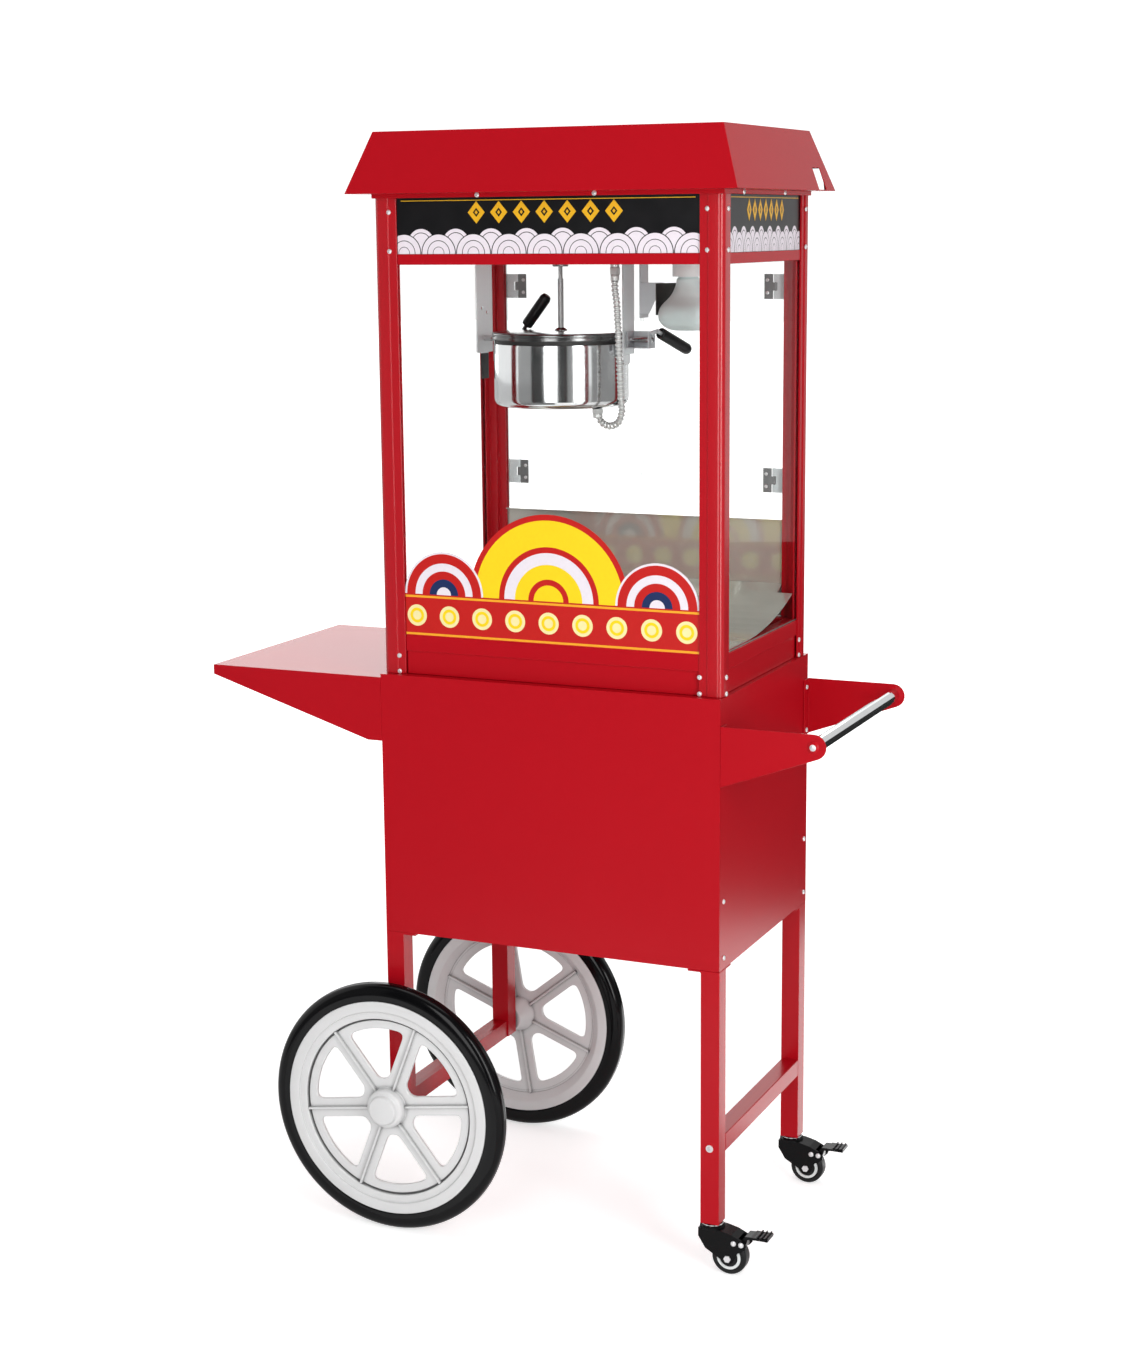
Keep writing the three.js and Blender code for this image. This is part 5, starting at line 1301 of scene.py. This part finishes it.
def cabinet_screws():
    """Screws in the posts beside the signs, round the base, and in the roof's lip."""
    front, back = low("post_front_left").y, high("post_rear_left").y
    left, right = low("post_front_left").x, high("post_front_right").x
    base_low, base_high = low("base_frame"), high("base_frame")
    places = []
    for rise in SIGN_SCREWS:
        z = SIGN_FOOT + rise
        for side in (-1, 1):
            x, y = CABINET.x + side * POST_SCREW_X, side * POST_SCREW_Y
            places += [((x, front, z), (0, -1, 0)), ((right, y, z), (1, 0, 0)),
                       ((left, y, z), (-1, 0, 0)), ((x, back, z), (0, 1, 0))]
    for drop in BASE_SCREWS:
        z = base_high.z - drop
        places += [((CABINET.x + x, base_low.y, z), (0, -1, 0)) for x in BASE_FRONT_X]
        for y in BASE_SIDE_Y:
            places += [((base_high.x, y, z), (1, 0, 0)), ((base_low.x, y, z), (-1, 0, 0))]
    z = low("roof").z + LIP_RISE
    lip_side = base_high.x + LIP_REACH
    places += [((CABINET.x + x, base_low.y - LIP_REACH, z), (0, -1, 0)) for x in LIP_FRONT_X]
    for y in LIP_SIDE_Y:
        places += [((lip_side, y, z), (1, 0, 0)), ((2 * CABINET.x - lip_side, y, z), (-1, 0, 0))]
    screws("cabinet_screws", "hanger_left", places, [
        "base_frame", "roof", "control_panel",
        "post_front_left", "post_front_right", "post_rear_left", "post_rear_right"])


def hinge_screws(side):
    """Two heads on each hinge leaf, inside and outside the door."""
    places = []
    for leaf in HINGE_LEAVES[side]:
        centre = middle(leaf)
        x = centre.x + math.copysign(HINGE_SCREW_X, CABINET.x - centre.x)
        places += [((x, centre.y, centre.z + z), (0, face, 0)) for z in HINGE_SCREW_Z for face in (-1, 1)]
    leaves = HINGE_LEAVES[side]
    screws(f"hinge_screws_{side}", leaves[0], places, leaves, 2.6 * MM, 1.2 * MM)


def cart_screws():
    side = high("cart_box").x
    face = low("handle_bracket_front").x + 2 * MM
    places = [((side, y, z), (1, 0, 0)) for y, z in CART_SCREWS]
    places += [((face, y, z), (1, 0, 0)) for z in BRACKET_SCREW_Z for y in BRACKET_SCREW_Y]
    screws("cart_screws", "hanger_left", places, ["cart_box", "handle_bracket_front", "handle_bracket_rear"])


def leg_bolts():
    """Bolts with a pale washer that hold the stretcher to the legs."""
    work = bmesh.new()
    washer = [(0, WASHER_RISE), (4.9 * MM, WASHER_RISE), *mm((5.4, 0), (5.4, -0.3), (0, -0.3))]
    for node, side, corner in (("leg_front_right", -1, low), ("leg_rear_right", 1, high)):
        place = placed((high(node).x - LEG_BOLT_IN, corner(node).y, LEG_BOLT_Z), (0, side, 0))
        turned(work, washer, 40, place)
        put(work, pan_head(3.4 * MM, 2.2 * MM), place @ Matrix.Translation((0, 0, WASHER_RISE)), 1)
    finished("leg_bolts", work, "hanger_left", [BRIGHT_ZINC, ZINC])


def handle_bolts():
    """A shallow domed head on each end of the push handle."""
    axis = middle("handle_tube")
    head = mm((0, 0.7), (2.2, 0.65), (3.6, 0.4), (4.4, -0.4), (4.4, -1.2), (0, -1.2))
    work = bmesh.new()
    for side, y in ((-1, low("handle_bracket_front").y), (1, high("handle_bracket_rear").y)):
        turned(work, head, 32, placed((axis.x, y, axis.z), (0, side, 0)))
    finished("handle_bolts", work, "hanger_right", [BRIGHT_ZINC])


def lamp_reflector():
    """A curved sheet behind the lamp, dark with painted shade."""
    work = bmesh.new()
    inner, outer = REFLECTOR_RADIUS, REFLECTOR_RADIUS + REFLECTOR_SHEET
    foot = low("lamp_holder").z + REFLECTOR_RISE
    head = foot + REFLECTOR_HEIGHT
    steps = 24
    rings = []
    for i in range(steps + 1):
        angle = math.radians(REFLECTOR_FROM + REFLECTOR_SWEEP * i / steps)
        across = Vector((math.cos(angle), math.sin(angle), 0))
        rings.append([work.verts.new(Vector((LAMP.x, LAMP.y, z)) + across * radius)
                      for radius, z in ((inner, foot), (outer, foot), (outer, head), (inner, head))])
    for first, second in zip(rings, rings[1:]):
        for k in range(4):
            work.faces.new([first[k], second[k], second[(k + 1) % 4], first[(k + 1) % 4]])
    work.faces.new(rings[0])
    work.faces.new(rings[-1])
    finished("lamp_reflector", work, "lamp_holder", [SHIELD_PAINTED_SHADE])


cabinet_screws()
hinge_screws("left")
hinge_screws("right")
cart_screws()
handle_bolts()
lamp_reflector()
leg_bolts()

# ---------------------------------------------------------------- floor, light and background
FLOOR_REACH = 30.0
FLOOR_DROP = 0.5 * MM
FLOOR_GLOW = 1.2                     # the brightest the floor glows, where 1 is white
GLOW_NEAR = 0.56
GLOW_FAR = 1.16
GLOW_IN_GLOSS = 0.3
WORLD_LIGHT = 0.42                   # what the world adds to the light on the object
WORLD_WHITE = 1.2                    # how it looks to the camera, in gloss and through panes
# The studio round the object. Angles are degrees to the right of the camera, seen from above.
CARDS_RADIUS = 3.4
CARDS_HEIGHT = 3.2
ON_FLOOR = 2 * MM


def standing(foot, head):
    """The two edges of a card that stands round the studio, each a radius and a height."""
    return (CARDS_RADIUS, foot), (CARDS_RADIUS, head)


def lying(near, far):
    """The two edges of a card that lies on the floor."""
    return (near, ON_FLOOR), (far, ON_FLOOR)


# From and to, how grey, and the two edges.
GREY_CARDS = {
    "card_left_far": (-78, -52, 0.35, standing(0.0, CARDS_HEIGHT)),
    "card_left": (-52, -30, 0.05, standing(0.0, CARDS_HEIGHT)),
    "card_camera": (-6, 10, 0.04, standing(0.0, CARDS_HEIGHT)),
    "card_right_near": (10, 20, 0.30, standing(0.0, CARDS_HEIGHT)),
    "card_right": (39, 46, 0.35, standing(0.0, CARDS_HEIGHT)),
    "card_right_far": (52, 112, 0.32, standing(0.0, CARDS_HEIGHT)),
    "card_right_rear": (112, 152, 0.03, standing(0.0, 0.55)),
    "card_right_rear_high": (112, 158, 0.78, standing(0.55, 4.5)),
    "card_backdrop_low": (160, 222, 0.6, standing(0.0, 1.1)),
    "card_backdrop": (160, 222, 2.6, standing(1.1, CARDS_HEIGHT)),
    "card_high_front": (-95, 80, 0.12, standing(CARDS_HEIGHT, 8.0)),
    "floor_right_far": (98, 152, 0.03, lying(1.55, CARDS_RADIUS)),
    "floor_right_near": (98, 160, 2.6, lying(0.35, 1.55)),
    "floor_left_far": (-80, -12, 0.25, lying(1.35, CARDS_RADIUS)),
    "floor_left_near": (-60, -12, 1.5, lying(0.35, 1.35)),
}
LIGHT_AIM = Vector((0.0, 0.0, 0.9))
SOFTBOX_RADIUS = 3.1
SOFTBOX_HEIGHT = 1.45
# Angle, size and power.
SOFTBOXES = {"left_softbox": (-18, (1.06, 2.4), 32.0), "right_softbox": (29.5, (0.86, 2.4), 48.0)}


def staged(name, corners, faces, material):
    """A sheet that is part of the studio, not of the object."""
    mesh = bpy.data.meshes.new(name)
    mesh.from_pydata(corners, [], faces)
    mesh.materials.append(material)
    sheet = bpy.data.objects.new(name, mesh)
    bpy.context.collection.objects.link(sheet)
    return sheet


def stage_floor():
    """A pale floor that is white to the camera further out and keeps the object's shadow."""
    paint = paint_called("floor")
    x, y, _ = paint.axes(paint.place())
    distance = (x * x + y * y) ** 0.5
    camera = paint.node("ShaderNodeLightPath", out="Is Camera Ray")
    seen = camera * (GLOW_NEAR + (GLOW_FAR - GLOW_NEAR) * distance.smoothly(0.7, 3.0))
    glow = seen + GLOW_IN_GLOSS * camera.beside("Is Glossy Ray")
    material = paint.done(paint.principled(
        Base_Color=(0.86, 0.86, 0.86),
        Roughness=0.7,
        Specular_IOR_Level=0.1,
        Emission_Color=paint.mix(glow / FLOOR_GLOW, (0.0, 0.0, 0.0), (1.0, 1.0, 1.0)),
        Emission_Strength=FLOOR_GLOW,
    ))
    far = FLOOR_REACH
    corners = [(x, y, -FLOOR_DROP) for x, y in ((-far, -far), (far, -far), (far, far), (-far, far))]
    staged("floor", corners, [(0, 1, 2, 3)], material)


def background():
    """White to the camera, in gloss and through panes, and a plain soft light on the object."""
    world = bpy.data.worlds.new("studio")
    bpy.context.scene.world = world
    paint = Paint(world, "ShaderNodeOutputWorld")
    camera = paint.node("ShaderNodeLightPath", out="Is Camera Ray")
    seen = camera.largest(camera.beside("Is Glossy Ray")).largest(camera.beside("Is Transmission Ray"))
    light, backdrop = (paint.node("ShaderNodeBackground", sockets={"Color": WHITE, "Strength": strength})
                       for strength in (WORLD_LIGHT, WORLD_WHITE))
    paint.done(paint.mixed_shaders(seen, light, backdrop))


def round_the_object(degrees, radius, height):
    """A point at that many degrees to the right of the camera."""
    angle = CAMERA_AZIMUTH + math.radians(degrees)
    return Vector((math.sin(angle) * radius, -math.cos(angle) * radius, height))


def grey_card(name, start, end, grey, edges, steps=8):
    """A card between two curved edges that only shows in gloss."""
    angles = [start + (end - start) * i / steps for i in range(steps + 1)]
    rows = [[round_the_object(angle, *edge) for angle in angles] for edge in edges]
    corners = [point for pair in zip(*rows) for point in pair]
    faces = [(2 * i, 2 * i + 1, 2 * i + 3, 2 * i + 2) for i in range(steps)]
    paint = paint_called(name)
    glow = paint.node("ShaderNodeEmission", sockets={"Color": (grey, grey, grey, 1.0), "Strength": 1.0})
    card = staged(name, corners, faces, paint.done(glow))
    for ray in ("camera", "diffuse", "transmission", "shadow", "volume_scatter"):
        setattr(card, f"visible_{ray}", False)


def softbox(name, place, size, power):
    data = bpy.data.lights.new(name, "AREA")
    data.shape = "RECTANGLE"
    data.size, data.size_y = size
    data.energy = power
    lamp = bpy.data.objects.new(name, data)
    lamp.location = place
    lamp.rotation_mode = "QUATERNION"
    lamp.rotation_quaternion = (LIGHT_AIM - Vector(place)).to_track_quat("-Z", "Y")
    bpy.context.collection.objects.link(lamp)


stage_floor()
background()
for card_name, card in GREY_CARDS.items():
    grey_card(card_name, *card)
for box_name, (box_angle, box_size, box_power) in SOFTBOXES.items():
    softbox(box_name, round_the_object(box_angle, SOFTBOX_RADIUS, SOFTBOX_HEIGHT), box_size, box_power)
softbox("top_softbox", (0.0, 0.3, 3.6), (2.4, 2.0), 26.0)
bpy.context.scene.view_settings.view_transform = "Standard"
